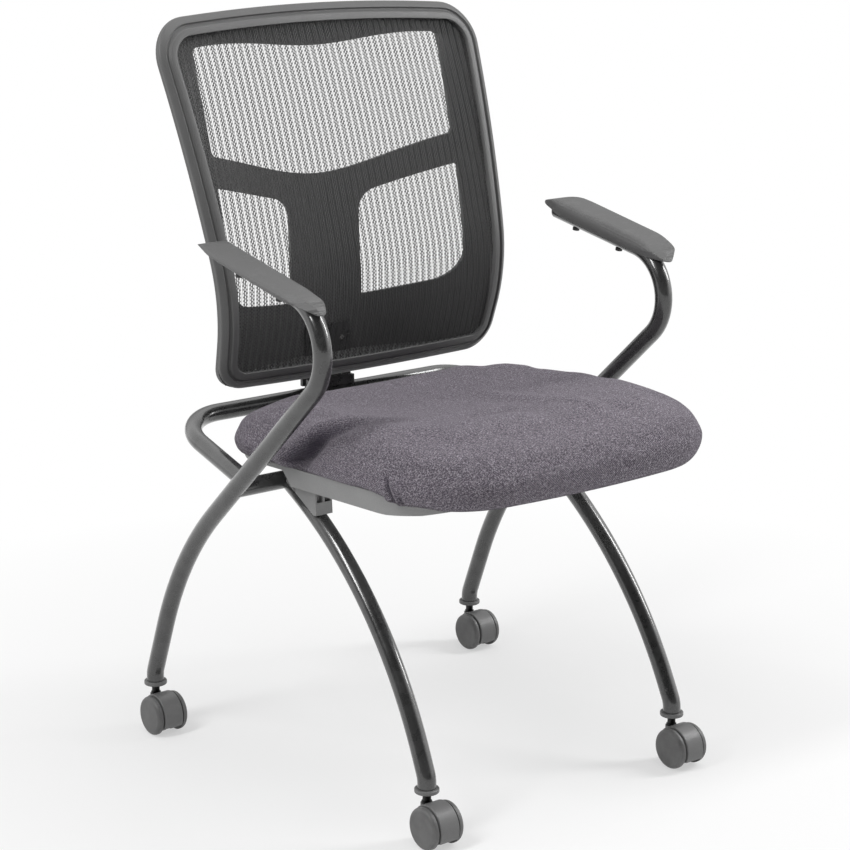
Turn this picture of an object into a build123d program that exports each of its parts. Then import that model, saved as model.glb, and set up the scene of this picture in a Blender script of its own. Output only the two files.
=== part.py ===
"""Nesting armchair on casters: tubular frame, mesh back, padded seat that flips up.

Millimetres, +Z up, floor at z = 0, the sitter faces -Y and the sitter's left is +X.
The origin is on the floor, under the middle of the chair's own box.
"""
from build123d import *
from math import asin, cos, hypot, radians, sin, tan
import os

# ---------------------------------------------------------------- frame tubes
TUBE_R = 11.0                    # 22 mm (7/8") round steel tube throughout
TUBE_BORE_R = 9.2
ARM_X = 258.0                    # side planes of the two arm-and-rear-leg tubes
PIVOT_Y, PIVOT_Z = 71.0, 365.0   # crossbar axis, which is also the seat's hinge axis
TUBE_END_Z = 64.5                # where the tubes stop, on the caster sockets' flanges
FOOT_BEND_Z = 76.0               # the last few centimetres of every leg turn upright
FOOT_BEND_R = 30.0

ARM_REAR_Y = 88.0                # rear end of the arm's top run
ARM_TOP_Z = 636.0                # height of the top run's axis at y = 38
ARM_SLOPE = 10.2                 # degrees, the run falls towards the front
CURL_R = 61.0                    # front curl of the arm
DIAGONAL_LEAN = 47.7             # degrees from upright, down and back from the curl
DIAGONAL_Y, DIAGONAL_Z = -43.8, 470.0
REAR_LEG_R = 475.0
REAR_LEG_LEAN = 22.0
REAR_FOOT_Y = 269.7

FRONT_LEG_TOP_X = 183.5
FRONT_FOOT_X = 191.5
FRONT_FOOT_Y = -213.8
FRONT_LEG_TOP_LEAN = 64.0
FRONT_LEG_FOOT_LEAN = 25.0
FRONT_LEG_R = 530.0

RAIL_X = 235.8                   # the rail's sides just touch the arm tubes' inner faces
RAIL_REAR_Y, RAIL_REAR_Z = 244.0, 410.5
RAIL_R = 65.0

# ---------------------------------------------------------------- arm pads
PAD_INNER_X, PAD_OUTER_X = 245.0, 297.0
PAD_Y, PAD_TOP_Z = 38.0, 651.5   # a point on the flat top
PAD_SLOPE = 10.8                 # degrees, the top falls towards the front
PAD_FRONT, PAD_REAR = -161.0, 78.0           # ends along the top, from that point
PAD_THICK, PAD_EDGE = 19.0, 5.0              # over the tube and at the outboard edge
PAD_NOSE = 46.0                  # length of the rounded front end
PAD_LIP = 22.0                   # how far the rear end curls down

# ---------------------------------------------------------------- back
BACK_WAIST_Z, BACK_WAIST_Y = 570.0, 146.5    # foremost point of the lumbar curve
LUMBAR_R = 205.0
UPPER_R = 1750.0
LOWER_LEAN, UPPER_LEAN = -16.0, 15.0         # degrees where the lumbar arc ends
BACK_TOP_Z, BACK_BOTTOM_Z = 900.0, 452.0
BACK_CROWN = 12.0                            # the top edge's rise at the middle
BACK_TOP_HALF, BACK_BOTTOM_HALF = 247.0, 211.5
RIM, RIM_TOP = 21.0, 24.0                    # width of the frame's face, low and high up
FRAME_DEPTH, REAR_DEPTH = 12.0, 7.0          # front frame, and the support's rim behind it
CANT_BACK = 7.5                              # the face falls away towards its outer edge
CANT_HEIGHTS = [430, 470, 505, 520, 545, 570, 595, 620, 640, 680, 740, 800, 860, 925]
MESH_GAP, MESH_THICK = 5.0, 1.4
SHELL_THICK = 5.0
SPINE_Y = 248.2
TONGUE_HALF, BRACKET_WIDTH = 38.0, 70.0

# ---------------------------------------------------------------- seat
SEAT_TILT = 3.8                  # degrees, the front is higher
PAN_BOTTOM, PAN_TOP = -2.0, 26.0 # heights over the hinge axis, before the tilt
PAN_REAR_BOTTOM = 19.0           # the pan is cut away over the crossbar
PAN_NOTCH_Y = -32.6
PAN_WALL = 3.0
SEAT_FRONT_Y, SEAT_REAR_Y = -358.9, 115.0
SEAT_FRONT_HALF, SEAT_REAR_HALF = 232.0, 218.5
BOARD_Z, BOARD_THICK = 22.2, 9.0
SEAM_GAP = 0.4                   # between the cushion's lower edge and the pan
CLAMP_X, CLAMP_WIDTH = 120.0, 40.0
REST_Y, REST_WIDTH, REST_LENGTH = -53.6, 24.0, 41.0
REST_POCKET = (8.4, 12.0, 11.0)  # the two pockets in the wedge's front face
REST_DROP = 8.6                  # underside of the wedge over the leg's centre line
HINGE_GAP = 0.1                  # running clearance round the crossbar

# ---------------------------------------------------------------- casters
WHEEL_R = 25.0
CASTER_HALF = 22.0               # half the width over both wheels
WHEEL_DISC = 7.0                 # thickness of a wheel's outer disc
BARREL_R = 22.0
WHEEL_ROOM = 0.7                 # between a wheel's barrel and the hood round it
CASTER_TRAIL = 18.0
HOOD_R = 26.6                    # the hood's edge stands proud of the wheels
HOOD_LOW_Z = 12.5                # the hood ends here and leaves the wheels' feet bare
HOOD_SIDE_GAP = 2.0              # dark gap between a wheel's disc and the hood
HOOD_TOP_Z = 46.5
BOSS_R = 7.4
STEM_R = 5.0
STEM_TOP_Z = 83.0
AXLE_R = 3.0
RUN_GAP = 0.1                    # running clearance of stems and wheels
FLANGE_R, FLANGE_THICK = 14.5, 5.0

SIDES = {"left": 1, "right": -1}


def polar(lean):
    """Unit step (y, z) that climbs while leaning back by `lean` degrees from upright."""
    return sin(radians(lean)), cos(radians(lean))


def meet(p, u, q, v):
    """Point where the line p + s u meets the line q + t v, in (y, z)."""
    cross = u[0] * v[1] - u[1] * v[0]
    s = ((q[0] - p[0]) * v[1] - (q[1] - p[1]) * v[0]) / cross
    return p[0] + s * u[0], p[1] + s * u[1]


# ------------------------------------------------------------------ tube paths
def arm_path(side):
    """Arm top run, front curl, diagonal and rear leg, all in one plane."""
    run = (cos(radians(ARM_SLOPE)), sin(radians(ARM_SLOPE)))
    lean_back = (-polar(DIAGONAL_LEAN)[0], polar(DIAGONAL_LEAN)[1])
    lean_leg = (-polar(REAR_LEG_LEAN)[0], polar(REAR_LEG_LEAN)[1])
    run_at = (38.0, ARM_TOP_Z)
    diagonal_at = (DIAGONAL_Y, DIAGONAL_Z)
    foot_bend = (REAR_FOOT_Y, FOOT_BEND_Z)
    top_rear = (ARM_REAR_Y, ARM_TOP_Z + (ARM_REAR_Y - 38.0) * tan(radians(ARM_SLOPE)))
    curl = meet(run_at, run, diagonal_at, lean_back)
    knee = meet(diagonal_at, lean_back, foot_bend, lean_leg)
    corners = [top_rear, curl, knee, foot_bend, (REAR_FOOT_Y, TUBE_END_Z)]
    points = [(side * ARM_X, y, z) for y, z in corners]
    return FilletPolyline(*points, radius=[CURL_R, REAR_LEG_R, FOOT_BEND_R])


def front_leg_path(side):
    """One long arc from the crossbar to the foot, leaning slightly outwards."""
    top = (PIVOT_Y, PIVOT_Z)
    down = (-polar(FRONT_LEG_TOP_LEAN)[0], -polar(FRONT_LEG_TOP_LEAN)[1])
    foot_bend = (FRONT_FOOT_Y, FOOT_BEND_Z)
    knee = meet(top, down, foot_bend, polar(FRONT_LEG_FOOT_LEAN))

    def place(y, z):
        share = (PIVOT_Z - max(z, FOOT_BEND_Z)) / (PIVOT_Z - FOOT_BEND_Z)
        return side * (FRONT_LEG_TOP_X + share * (FRONT_FOOT_X - FRONT_LEG_TOP_X)), y, z

    points = [place(*p) for p in (top, knee, foot_bend, (FRONT_FOOT_Y, TUBE_END_Z))]
    return FilletPolyline(*points, radius=[FRONT_LEG_R, FOOT_BEND_R])


def rail_path():
    """U round the back of the seat, rising to the rear, from the crossbar and back."""
    points = [
        (-RAIL_X, PIVOT_Y, PIVOT_Z),
        (-RAIL_X, RAIL_REAR_Y, RAIL_REAR_Z),
        (RAIL_X, RAIL_REAR_Y, RAIL_REAR_Z),
        (RAIL_X, PIVOT_Y, PIVOT_Z),
    ]
    return FilletPolyline(*points, radius=RAIL_R)


def rod_along(path, radius):
    start = path.position_at(0)
    return sweep(Plane(start, z_dir=path.tangent_at(0)) * Circle(radius), path=path)


def arm_rod(side, radius):
    return rod_along(arm_path(side), radius)


def front_leg_rod(side, radius):
    return rod_along(front_leg_path(side), radius)


def rail_rod(radius):
    return rod_along(rail_path(), radius)


def crossbar_rod(radius):
    return Pos(0, PIVOT_Y, PIVOT_Z) * Rot(0, 90, 0) * Cylinder(radius, 2 * ARM_X)


# ------------------------------------------------------------------ frame
def arm_screw_places(side):
    """Two screws per pad, square to the arm's top run."""
    for y in (-30.0, 52.0):
        z = ARM_TOP_Z + (y - 38.0) * tan(radians(ARM_SLOPE))
        yield Pos(side * ARM_X, y, z) * Rot(ARM_SLOPE, 0, 0)


def arm_screw(place):
    shank = Pos(0, 0, -0.9) * Cylinder(2.4, 28.2)
    head = Pos(0, 0, -TUBE_R - 2.4) * Cylinder(4.5, 3.2)
    return place * (shank + head)


def arm_screws():
    return [arm_screw(p) for side in (1, -1) for p in arm_screw_places(side)]


def arm_leg_tube(side):
    tube = arm_rod(side, TUBE_R) - arm_rod(side, TUBE_BORE_R)
    for place in arm_screw_places(side):
        tube -= place * Cylinder(2.5, 40.0)
        tube -= place * Pos(0, 0, -TUBE_R - 1.8) * Cylinder(4.7, 4.6)
    return tube


def crossbar():
    bar = crossbar_rod(TUBE_R) - crossbar_rod(TUBE_BORE_R)
    return bar - arm_rod(1, TUBE_R) - arm_rod(-1, TUBE_R)


def seat_rail():
    rail = rail_rod(TUBE_R) - rail_rod(TUBE_BORE_R)
    return rail - crossbar_rod(TUBE_R) - arm_rod(1, TUBE_R) - arm_rod(-1, TUBE_R)


def front_leg(side):
    """Curved front leg, its top end shaped to the crossbar."""
    leg = front_leg_rod(-1, TUBE_R) - front_leg_rod(-1, TUBE_BORE_R) - crossbar_rod(TUBE_R)
    return leg if side < 0 else leg.mirror(Plane.YZ)


def arm_plug(side):
    """Domed cap in the rear end of the arm tube."""
    path = arm_path(side)
    end = path.position_at(0)
    outward = Plane(end, z_dir=-path.tangent_at(0))
    cap = outward * Pos(0, 0, 2.0) * Cylinder(TUBE_R, 4.0)
    cap = fillet(cap.edges().sort_by_distance(end + outward.z_dir * 10)[:1], 2.6)
    neck = outward * Pos(0, 0, -6.0) * Cylinder(TUBE_BORE_R - 0.05, 12.0)
    return cap + neck


# ------------------------------------------------------------------ arm pads
def pad_place(shape):
    """Puts a piece drawn along the pad's own top plane into the chair."""
    return Pos(0, PAD_Y, PAD_TOP_Z) * Rot(PAD_SLOPE, 0, 0) * shape


def pad_section():
    """Cross section: rolled inboard edge, flat top, thin outboard edge."""
    inner, outer = PAD_INNER_X, PAD_OUTER_X
    with BuildSketch(Plane.XZ) as sketch:
        with BuildLine():
            ThreePointArc((inner, -13.0), (inner + 2.6, -4.2), (inner + 11.0, 0))
            Line((inner + 11.0, 0), (outer - 9.0, 0))
            ThreePointArc((outer - 9.0, 0), (outer - 2.4, -1.2), (outer, -PAD_EDGE + 1.5))
            Line((outer, -PAD_EDGE + 1.5), (outer - 1.5, -PAD_EDGE))
            Line((outer - 1.5, -PAD_EDGE), (outer - 18.0, -PAD_EDGE - 4.0))
            Line((outer - 18.0, -PAD_EDGE - 4.0), (outer - 22.0, -PAD_THICK))
            Line((outer - 22.0, -PAD_THICK), (inner + 1.0, -PAD_THICK))
            Line((inner + 1.0, -PAD_THICK), (inner, -13.0))
        make_face()
    return extrude(sketch.sketch, 300.0, both=True)


def pad_profile():
    """Side profile: blunt nose, straight top, rear end curled down to a lip."""
    nose, tip = PAD_FRONT, PAD_REAR
    with BuildSketch(Plane.YZ) as sketch:
        with BuildLine():
            ThreePointArc((nose, -9.0), (nose + 18.0, -3.0), (nose + 50.0, 0))
            Line((nose + 50.0, 0), (tip - 46.0, 0))
            ThreePointArc((tip - 46.0, 0), (tip - 16.0, -6.5), (tip, -PAD_LIP))
            ThreePointArc((tip, -PAD_LIP), (tip - 4.0, -PAD_LIP - 1.5), (tip - 8.0, -PAD_LIP + 1.5))
            Line((tip - 8.0, -PAD_LIP + 1.5), (tip - 30.0, -PAD_THICK))
            Line((tip - 30.0, -PAD_THICK), (nose + 40.0, -PAD_THICK))
            ThreePointArc((nose + 40.0, -PAD_THICK), (nose + 18.0, -17.0), (nose, -12.0))
            Line((nose, -12.0), (nose, -9.0))
        make_face()
    return extrude(sketch.sketch, 400.0)


def pad_plan():
    """Plan: half-ellipse nose, parallel sides, tapered rear end."""
    middle, half = 0.5 * (PAD_INNER_X + PAD_OUTER_X), 0.5 * (PAD_OUTER_X - PAD_INNER_X)
    shoulder = PAD_FRONT + PAD_NOSE
    knee = PAD_FRONT + PAD_NOSE * (1 - cos(radians(45)))
    reach = half * sin(radians(45))
    with BuildSketch() as sketch:
        with BuildLine():
            Spline((PAD_INNER_X, shoulder), (middle - reach, knee), (middle, PAD_FRONT),
                   (middle + reach, knee), (PAD_OUTER_X, shoulder), tangents=((0, -1), (0, 1)))
            Polyline((PAD_OUTER_X, shoulder), (PAD_OUTER_X, PAD_REAR - 60.0),
                     (PAD_OUTER_X - 15.0, PAD_REAR), (PAD_INNER_X + 5.0, PAD_REAR),
                     (PAD_INNER_X, PAD_REAR - 50.0), (PAD_INNER_X, shoulder))
        make_face()
        fillet(sketch.vertices().sort_by(Axis.Y)[-2:], 13.0)
    return extrude(sketch.sketch, 60.0, both=True)


def arm_pad(side):
    """Moulded pad with a channel underneath that sits over the tube."""
    pad = pad_place(pad_section() & pad_plan() & pad_profile())
    pad = pad - arm_rod(1, TUBE_R) - arm_plug(1)
    for place in arm_screw_places(1):
        pad -= arm_screw(place)
    return pad if side > 0 else pad.mirror(Plane.YZ)


# ------------------------------------------------------------------ back
def back_marks():
    """End points of the lumbar arc and the upper arc, in (y, z)."""
    centre = (BACK_WAIST_Y + LUMBAR_R, BACK_WAIST_Z)

    def on_lumbar(lean):
        return (centre[0] - LUMBAR_R * cos(radians(lean)),
                centre[1] + LUMBAR_R * sin(radians(lean)))

    return on_lumbar(LOWER_LEAN), on_lumbar(0.5 * (LOWER_LEAN + UPPER_LEAN)), on_lumbar(UPPER_LEAN)


def back_y(z):
    """The back's side profile: y of the frame's front face at height z."""
    low, _, high = back_marks()
    if z <= low[1]:
        return low[0] + (low[1] - z) * tan(radians(-LOWER_LEAN))
    if z <= high[1]:
        return BACK_WAIST_Y + LUMBAR_R - (LUMBAR_R ** 2 - (z - BACK_WAIST_Z) ** 2) ** 0.5
    lean = asin(sin(radians(UPPER_LEAN)) + (z - high[1]) / UPPER_R)
    return high[0] + UPPER_R * (cos(radians(UPPER_LEAN)) - cos(lean))


def back_slab(offset, thick, half=300.0):
    """A plate that follows the side profile, `offset` behind the frame's front face."""
    bottom, top = BACK_BOTTOM_Z - 20.0, BACK_TOP_Z + 40.0
    low, mid, high = back_marks()
    upper_mid = 0.5 * (high[1] + top)

    def at(y, z, shift):
        return y + shift, z

    with BuildSketch(Plane.YZ) as profile:
        with BuildLine():
            for shift in (offset, offset + thick):
                foot = at(back_y(bottom), bottom, shift)
                a, b, c = at(*low, shift), at(*mid, shift), at(*high, shift)
                d = at(back_y(upper_mid), upper_mid, shift)
                e = at(back_y(top), top, shift)
                Line(foot, a)
                ThreePointArc(a, b, c)
                ThreePointArc(c, d, e)
            for z in (bottom, top):
                y = back_y(z)
                Line((y + offset, z), (y + offset + thick, z))
        make_face()
    return extrude(profile.sketch, half, both=True)


def back_outline(inset, corner_top, corner_bottom):
    """Front view of the back, drawn in by `inset`, and by a little more at the top."""
    top, bottom = BACK_TOP_Z - inset, BACK_BOTTOM_Z + 4.0 + inset
    low_half = BACK_BOTTOM_HALF - inset
    top_half = BACK_TOP_HALF - inset * RIM_TOP / RIM
    with BuildSketch(Plane.XZ) as sketch:
        with BuildLine():
            Line((-low_half, bottom), (-top_half, top))
            ThreePointArc((-top_half, top), (0, top + BACK_CROWN), (top_half, top))
            Line((top_half, top), (low_half, bottom))
            ThreePointArc((low_half, bottom), (0, bottom - 4.0), (-low_half, bottom))
        make_face()
        corners = sketch.vertices().sort_by(Axis.Y)
        fillet(corners[2:], corner_top)
        fillet(sketch.vertices().sort_by(Axis.Y)[:2], corner_bottom)
    return sketch.sketch


def through_back(face):
    return extrude(face, 400.0, both=True)


def back_mesh():
    plate = back_slab(MESH_GAP, MESH_THICK)
    return plate & through_back(back_outline(RIM - 8.0, 32.0, 22.0))


def canted_sides():
    """Block whose front follows the side profile and falls away over the side rims."""
    reach, start = 12.0, RIM_TOP + 2.0
    fall = CANT_BACK * (start + reach) / start
    sections = []
    for z in CANT_HEIGHTS:
        y, half = back_y(z), half_width(z)
        with BuildSketch(Plane.XY.offset(z)) as sketch:
            with BuildLine():
                Polyline((-half - reach, y + 60.0), (-half - reach, y + fall), (-half + start, y),
                         (half - start, y), (half + reach, y + fall), (half + reach, y + 60.0),
                         close=True)
            make_face()
        sections.append(sketch.sketch)
    return loft(sections)


def canted_ends():
    """Wedges that take the face back over the top and bottom rims."""
    wedges = Part()
    for inner, outer in ((BACK_TOP_Z - RIM - 2.0, BACK_TOP_Z + BACK_CROWN),
                         (BACK_BOTTOM_Z + RIM + 6.0, BACK_BOTTOM_Z)):
        run = 1.5 * (outer - inner)
        end = inner + run
        with BuildSketch(Plane.YZ) as sketch:
            with BuildLine():
                Polyline((back_y(inner), inner), (back_y(end) + 1.5 * CANT_BACK, end),
                         (back_y(end) - 30.0, end), (back_y(inner) - 30.0, inner), close=True)
            make_face()
        wedges += extrude(sketch.sketch, 300.0, both=True)
    return wedges


def back_frame():
    """Ring with a face that falls away outwards, grooved for the mesh's edge."""
    ring = back_slab(0.0, FRAME_DEPTH) & through_back(back_outline(0.0, 54.0, 34.0))
    ring &= canted_sides()
    ring -= canted_ends()
    ring -= through_back(back_outline(RIM, 26.0, 14.0))
    ring -= back_mesh()
    return ring


def half_width(z):
    """Half the width of the back's outline at height z."""
    share = (z - BACK_BOTTOM_Z - 4.0) / (BACK_TOP_Z - BACK_BOTTOM_Z - 4.0)
    return BACK_BOTTOM_HALF + share * (BACK_TOP_HALF - BACK_BOTTOM_HALF)


def spine_y(z):
    """Front face of the support shell on the chair's centre line."""
    if z <= 500.0:
        return SPINE_Y
    if z <= 660.0:
        return SPINE_Y + 6.0 * (z - 500.0) / 160.0
    return SPINE_Y + 6.0 + 15.0 * (z - 660.0) / 240.0


def shell_section(z):
    """Level slice of the support shell: an arc bowed back between the frame's sides."""
    half = half_width(z) - 12.0
    rear = back_y(z) + FRAME_DEPTH + REAR_DEPTH
    front = rear - SHELL_THICK
    mid_y = max(spine_y(z), front + 1.0)
    with BuildSketch(Plane.XY.offset(z)) as sketch:
        with BuildLine():
            ThreePointArc((-half, front), (0, mid_y), (half, front))
            Line((half, front), (half, rear))
            ThreePointArc((half, rear), (0, mid_y + SHELL_THICK), (-half, rear))
            Line((-half, rear), (-half, front))
        make_face()
    return sketch.sketch


def upper_window():
    with BuildSketch(Plane.XZ) as sketch:
        with BuildLine():
            Line((-186, 738), (-189, 866))
            Spline((-189, 866), (-105, 867), (0, 859), (105, 867), (189, 866))
            Line((189, 866), (186, 738))
            Spline((186, 738), (100, 715), (0, 697), (-100, 715), (-186, 738))
        make_face()
        fillet(sketch.vertices(), 9.0)
    return sketch.sketch


def lower_window(side):
    with BuildSketch(Plane.XZ) as sketch:
        with BuildLine():
            Line((side * 54, 535), (side * 54, 666))
            ThreePointArc((side * 54, 666), (side * 116, 682), (side * 186, 700))
            Line((side * 186, 700), (side * 181, 556))
            ThreePointArc((side * 181, 556), (side * 116, 542), (side * 54, 535))
        make_face()
        inner_top = sketch.vertices().sort_by(lambda v: hypot(abs(v.X) - 54, v.Y - 666))[:1]
        fillet(inner_top, 30.0)
        outer_low = sketch.vertices().sort_by(lambda v: hypot(abs(v.X) - 181, v.Y - 556))[:1]
        fillet(outer_low, 48.0)
    return sketch.sketch


def support_shell():
    """Bowed plastic shell with three windows that ties the frame to the rail."""
    heights = (458.0, 500.0, 540.0, 580.0, 620.0, 660.0, 700.0, 740.0, 780.0, 820.0, 860.0, 893.0)
    bowed = loft([shell_section(z) for z in heights])
    bowed &= through_back(back_outline(2.0, 52.0, 32.0))
    rim = back_slab(FRAME_DEPTH, REAR_DEPTH) & through_back(
        back_outline(1.0, 53.0, 33.0) - back_outline(RIM - 4.0, 28.0, 16.0))
    tongue = Pos(0, SPINE_Y + SHELL_THICK / 2, 451.0) * Box(2 * TONGUE_HALF, SHELL_THICK, 56.0)
    shell = rim + bowed + tongue + shell_sill()
    shell -= through_back(upper_window())
    for side in (1, -1):
        shell -= through_back(lower_window(side))
    shell -= Pos(0, SPINE_Y - 3.0, 450.0) * Box(BRACKET_WIDTH + 1.0, 6.0, 2 * 54.0)
    for bolt in back_bolts():
        shell -= bolt
    return shell


def shell_sill():
    """Level web that closes the bow along the bottom edge."""
    z = 460.0
    half = half_width(z) - 14.0
    side_y = back_y(z) + FRAME_DEPTH + 2.0
    with BuildSketch(Plane.XY.offset(z)) as sketch:
        with BuildLine():
            Line((-half, side_y), (half, side_y))
            ThreePointArc((half, side_y), (0, SPINE_Y + 2.0), (-half, side_y))
        make_face()
    return extrude(sketch.sketch, 4.0)


def back_bracket():
    """Steel plate welded upright on the rail, in front of the shell's tongue."""
    bottom, top = 412.0, 502.0
    plate = Pos(0, SPINE_Y - 2.5, 0.5 * (bottom + top)) * Box(BRACKET_WIDTH, 5.0, top - bottom)
    plate = fillet(plate.edges().filter_by(Axis.Y).sort_by(Axis.Z)[-2:], 8.0)
    block = Pos(0, SPINE_Y - 9.0, 426.0) * Box(BRACKET_WIDTH, 8.0, 12.0)
    plate = plate + block - rail_rod(TUBE_R)
    for bolt in back_bolts():
        plate -= bolt
    return plate


def back_bolt(x, z):
    shank = Pos(x, SPINE_Y + 1.0, z) * Rot(90, 0, 0) * Cylinder(3.0, 16.0)
    head = Pos(x, SPINE_Y + SHELL_THICK + 2.2, z) * Rot(90, 0, 0) * Cylinder(6.0, 4.4)
    return shank + head


def back_bolts():
    return [back_bolt(x, z) for x in (-20.0, 20.0) for z in (442.0, 482.0)]


# ------------------------------------------------------------------ seat
def seat_place(shape):
    """Puts a piece drawn about the hinge axis into the chair, with the seat's tilt."""
    return Pos(0, PIVOT_Y, PIVOT_Z) * Rot(-SEAT_TILT, 0, 0) * shape


def seat_outline(z, side_in, front_in, rear_in, front_r=105.0, rear_r=80.0):
    """Plan of the seat at one height: a trapezoid with round corners and a bowed front."""
    front, rear = SEAT_FRONT_Y + front_in, SEAT_REAR_Y - rear_in
    wide, narrow = SEAT_FRONT_HALF - side_in, SEAT_REAR_HALF - side_in
    bow = 20.0
    with BuildSketch(Plane.XY.offset(z)) as sketch:
        with BuildLine():
            Line((narrow, rear), (wide, front + bow))
            ThreePointArc((wide, front + bow), (0, front), (-wide, front + bow))
            Line((-wide, front + bow), (-narrow, rear))
            Line((-narrow, rear), (narrow, rear))
        make_face()
        fillet(sketch.vertices().sort_by(Axis.Y)[:2], front_r)
        fillet(sketch.vertices().sort_by(Axis.Y)[-2:], rear_r)
    return sketch.sketch


def seat_board():
    board = extrude(seat_outline(BOARD_Z, 28.0, 66.0, 20.0, 90.0, 62.0), BOARD_THICK)
    for side in (1, -1):
        for place in clamp_screw_places(side):
            board -= clamp_screw(place)
    return board


def pan_line(drop):
    """Side profile of the pan: floor, cut-away over the crossbar, and the seam on top."""
    front, top = SEAT_FRONT_Y + 46.0, PAN_TOP - drop
    with BuildSketch(Plane.YZ) as sketch:
        with BuildLine():
            Polyline((front, PAN_BOTTOM + 10.5 + drop), (front + 40.0, PAN_BOTTOM + 3.0 + drop),
                     (front + 84.0, PAN_BOTTOM + drop), (PAN_NOTCH_Y - drop, PAN_BOTTOM + drop),
                     (PAN_NOTCH_Y + 4.0 - drop, PAN_REAR_BOTTOM + drop),
                     (SEAT_REAR_Y, PAN_REAR_BOTTOM + drop), (SEAT_REAR_Y, top + 2 * drop),
                     (front + 88.0, top + 2 * drop))
            Line((front + 88.0, top + 2 * drop), (front, PAN_BOTTOM + 12.5 + 2 * drop))
            Line((front, PAN_BOTTOM + 12.5 + 2 * drop), (front, PAN_BOTTOM + 10.5 + drop))
        make_face()
    return extrude(sketch.sketch, 300.0, both=True)


def pan_block(wall):
    """The pan's outside, or its inside when `wall` is taken off all round."""
    low = seat_outline(PAN_BOTTOM + wall, 22.0 + wall, 44.0 + wall, 16.0 + wall, 94.0, 70.0)
    high = seat_outline(PAN_TOP + wall, 11.0 + wall, 40.0 + wall, 6.0 + wall, 100.0, 76.0)
    return loft([low, high]) & pan_line(wall)


def seat_pan():
    """Moulded tray under the cushion, cut away at the rear over the crossbar."""
    pan = pan_block(0.0) - pan_block(PAN_WALL) + pan_ribs()
    for side in (1, -1):
        for place in clamp_screw_places(side):
            pan -= clamp_screw(place)
    return pan


def seat_cushion():
    """Foam block with drawn-in sides, a front that wraps down and a shallow dish on top."""
    layers = [
        (5.0, 27.0, 20.0, 36.0),
        (10.5, 17.0, 10.0, 20.0),
        (19.0, 9.0, 4.0, 10.0),
        (30.0, 3.0, 0.5, 3.5),
        (42.0, 0.0, 0.0, 0.0),
        (56.0, 1.0, 3.0, 1.5),
        (66.0, 4.0, 10.0, 7.0),
        (74.0, 9.0, 22.0, 18.0),
        (80.5, 17.0, 42.0, 36.0),
        (85.0, 28.0, 70.0, 62.0),
        (88.0, 46.0, 106.0, 96.0),
    ]
    cushion = loft([seat_outline(z, s, f, r, 105.0 - s / 2, 80.0 - s / 2)
                    for z, s, f, r in layers], ruled=True)
    front = SEAT_FRONT_Y + 46.0
    seam = PAN_TOP + SEAM_GAP
    with BuildSketch(Plane.YZ) as sketch:
        with BuildLine():
            Polyline((front - 80, PAN_BOTTOM + 4.5), (front, PAN_BOTTOM + 12.5 + SEAM_GAP),
                     (front + 88.0, seam), (SEAT_REAR_Y + 20.0, seam),
                     (SEAT_REAR_Y + 20.0, -20.0), (front - 80, -20.0), close=True)
        make_face()
    cushion -= extrude(sketch.sketch, 300.0, both=True)
    cushion -= extrude(seat_outline(BOARD_Z, 27.6, 65.6, 19.6, 90.4, 62.4), BOARD_THICK + SEAM_GAP)
    dish_r = 1300.0
    return cushion - Pos(0, -85.0, 76.0 + dish_r) * Sphere(dish_r)


def pan_ribs():
    """Ribs in the tray that carry the board."""
    height = BOARD_Z - PAN_BOTTOM - PAN_WALL
    middle = PAN_BOTTOM + PAN_WALL + height / 2 - 0.1
    ribs = Part()
    for x in (-150.0, -50.0, 50.0, 150.0):
        ribs += Pos(x, -140.0, middle) * Box(3.0, 200.0, height)
    for y in (-210.0, -120.0):
        ribs += Pos(0, y, middle) * Box(380.0, 3.0, height)
    return ribs


def hinge_bore(length):
    return Rot(0, 90, 0) * Cylinder(TUBE_R + HINGE_GAP, length)


def clamp_screw_places(side):
    for x in (-12.0, 12.0):
        for y in (-21.0, 21.0):
            yield Pos(side * CLAMP_X + x, y, 0)


def clamp_screw(place):
    shank = Pos(0, 0, 10.5) * Cylinder(2.5, 34.0)
    head = Pos(0, 0, -8.0) * Cylinder(4.6, 3.4)
    return place * (shank + head)


def pivot_clamp(side):
    """Upper half of the hinge block, under the pan."""
    block = Pos(side * CLAMP_X, 0, 9.6) * Box(CLAMP_WIDTH, 56.0, 18.6)
    block = fillet(block.edges().filter_by(Axis.Z), 4.0)
    block -= Pos(side * CLAMP_X, 0, 0) * hinge_bore(CLAMP_WIDTH + 2)
    block -= Pos(side * CLAMP_X, -40.0, 0) * Box(60, 24, 60)
    for place in clamp_screw_places(side):
        block -= clamp_screw(place)
    return block


def pivot_cap(side):
    """Lower half of the hinge block."""
    plate = Pos(side * CLAMP_X, 0, -3.2) * Box(CLAMP_WIDTH, 56.0, 6.0)
    plate = fillet(plate.edges().filter_by(Axis.Z), 4.0)
    belly = Pos(side * CLAMP_X, 0, 0) * Rot(0, 90, 0) * Cylinder(TUBE_R + 5.0, CLAMP_WIDTH)
    belly -= Pos(side * CLAMP_X, 0, 20.0 - 0.2) * Box(60, 60, 40)
    cap = plate + belly - Pos(side * CLAMP_X, 0, 0) * hinge_bore(CLAMP_WIDTH + 2)
    cap -= Pos(side * CLAMP_X, -40.0, 0) * Box(60, 24, 60)
    for place in clamp_screw_places(side):
        cap -= clamp_screw(place)
    return cap


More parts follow.
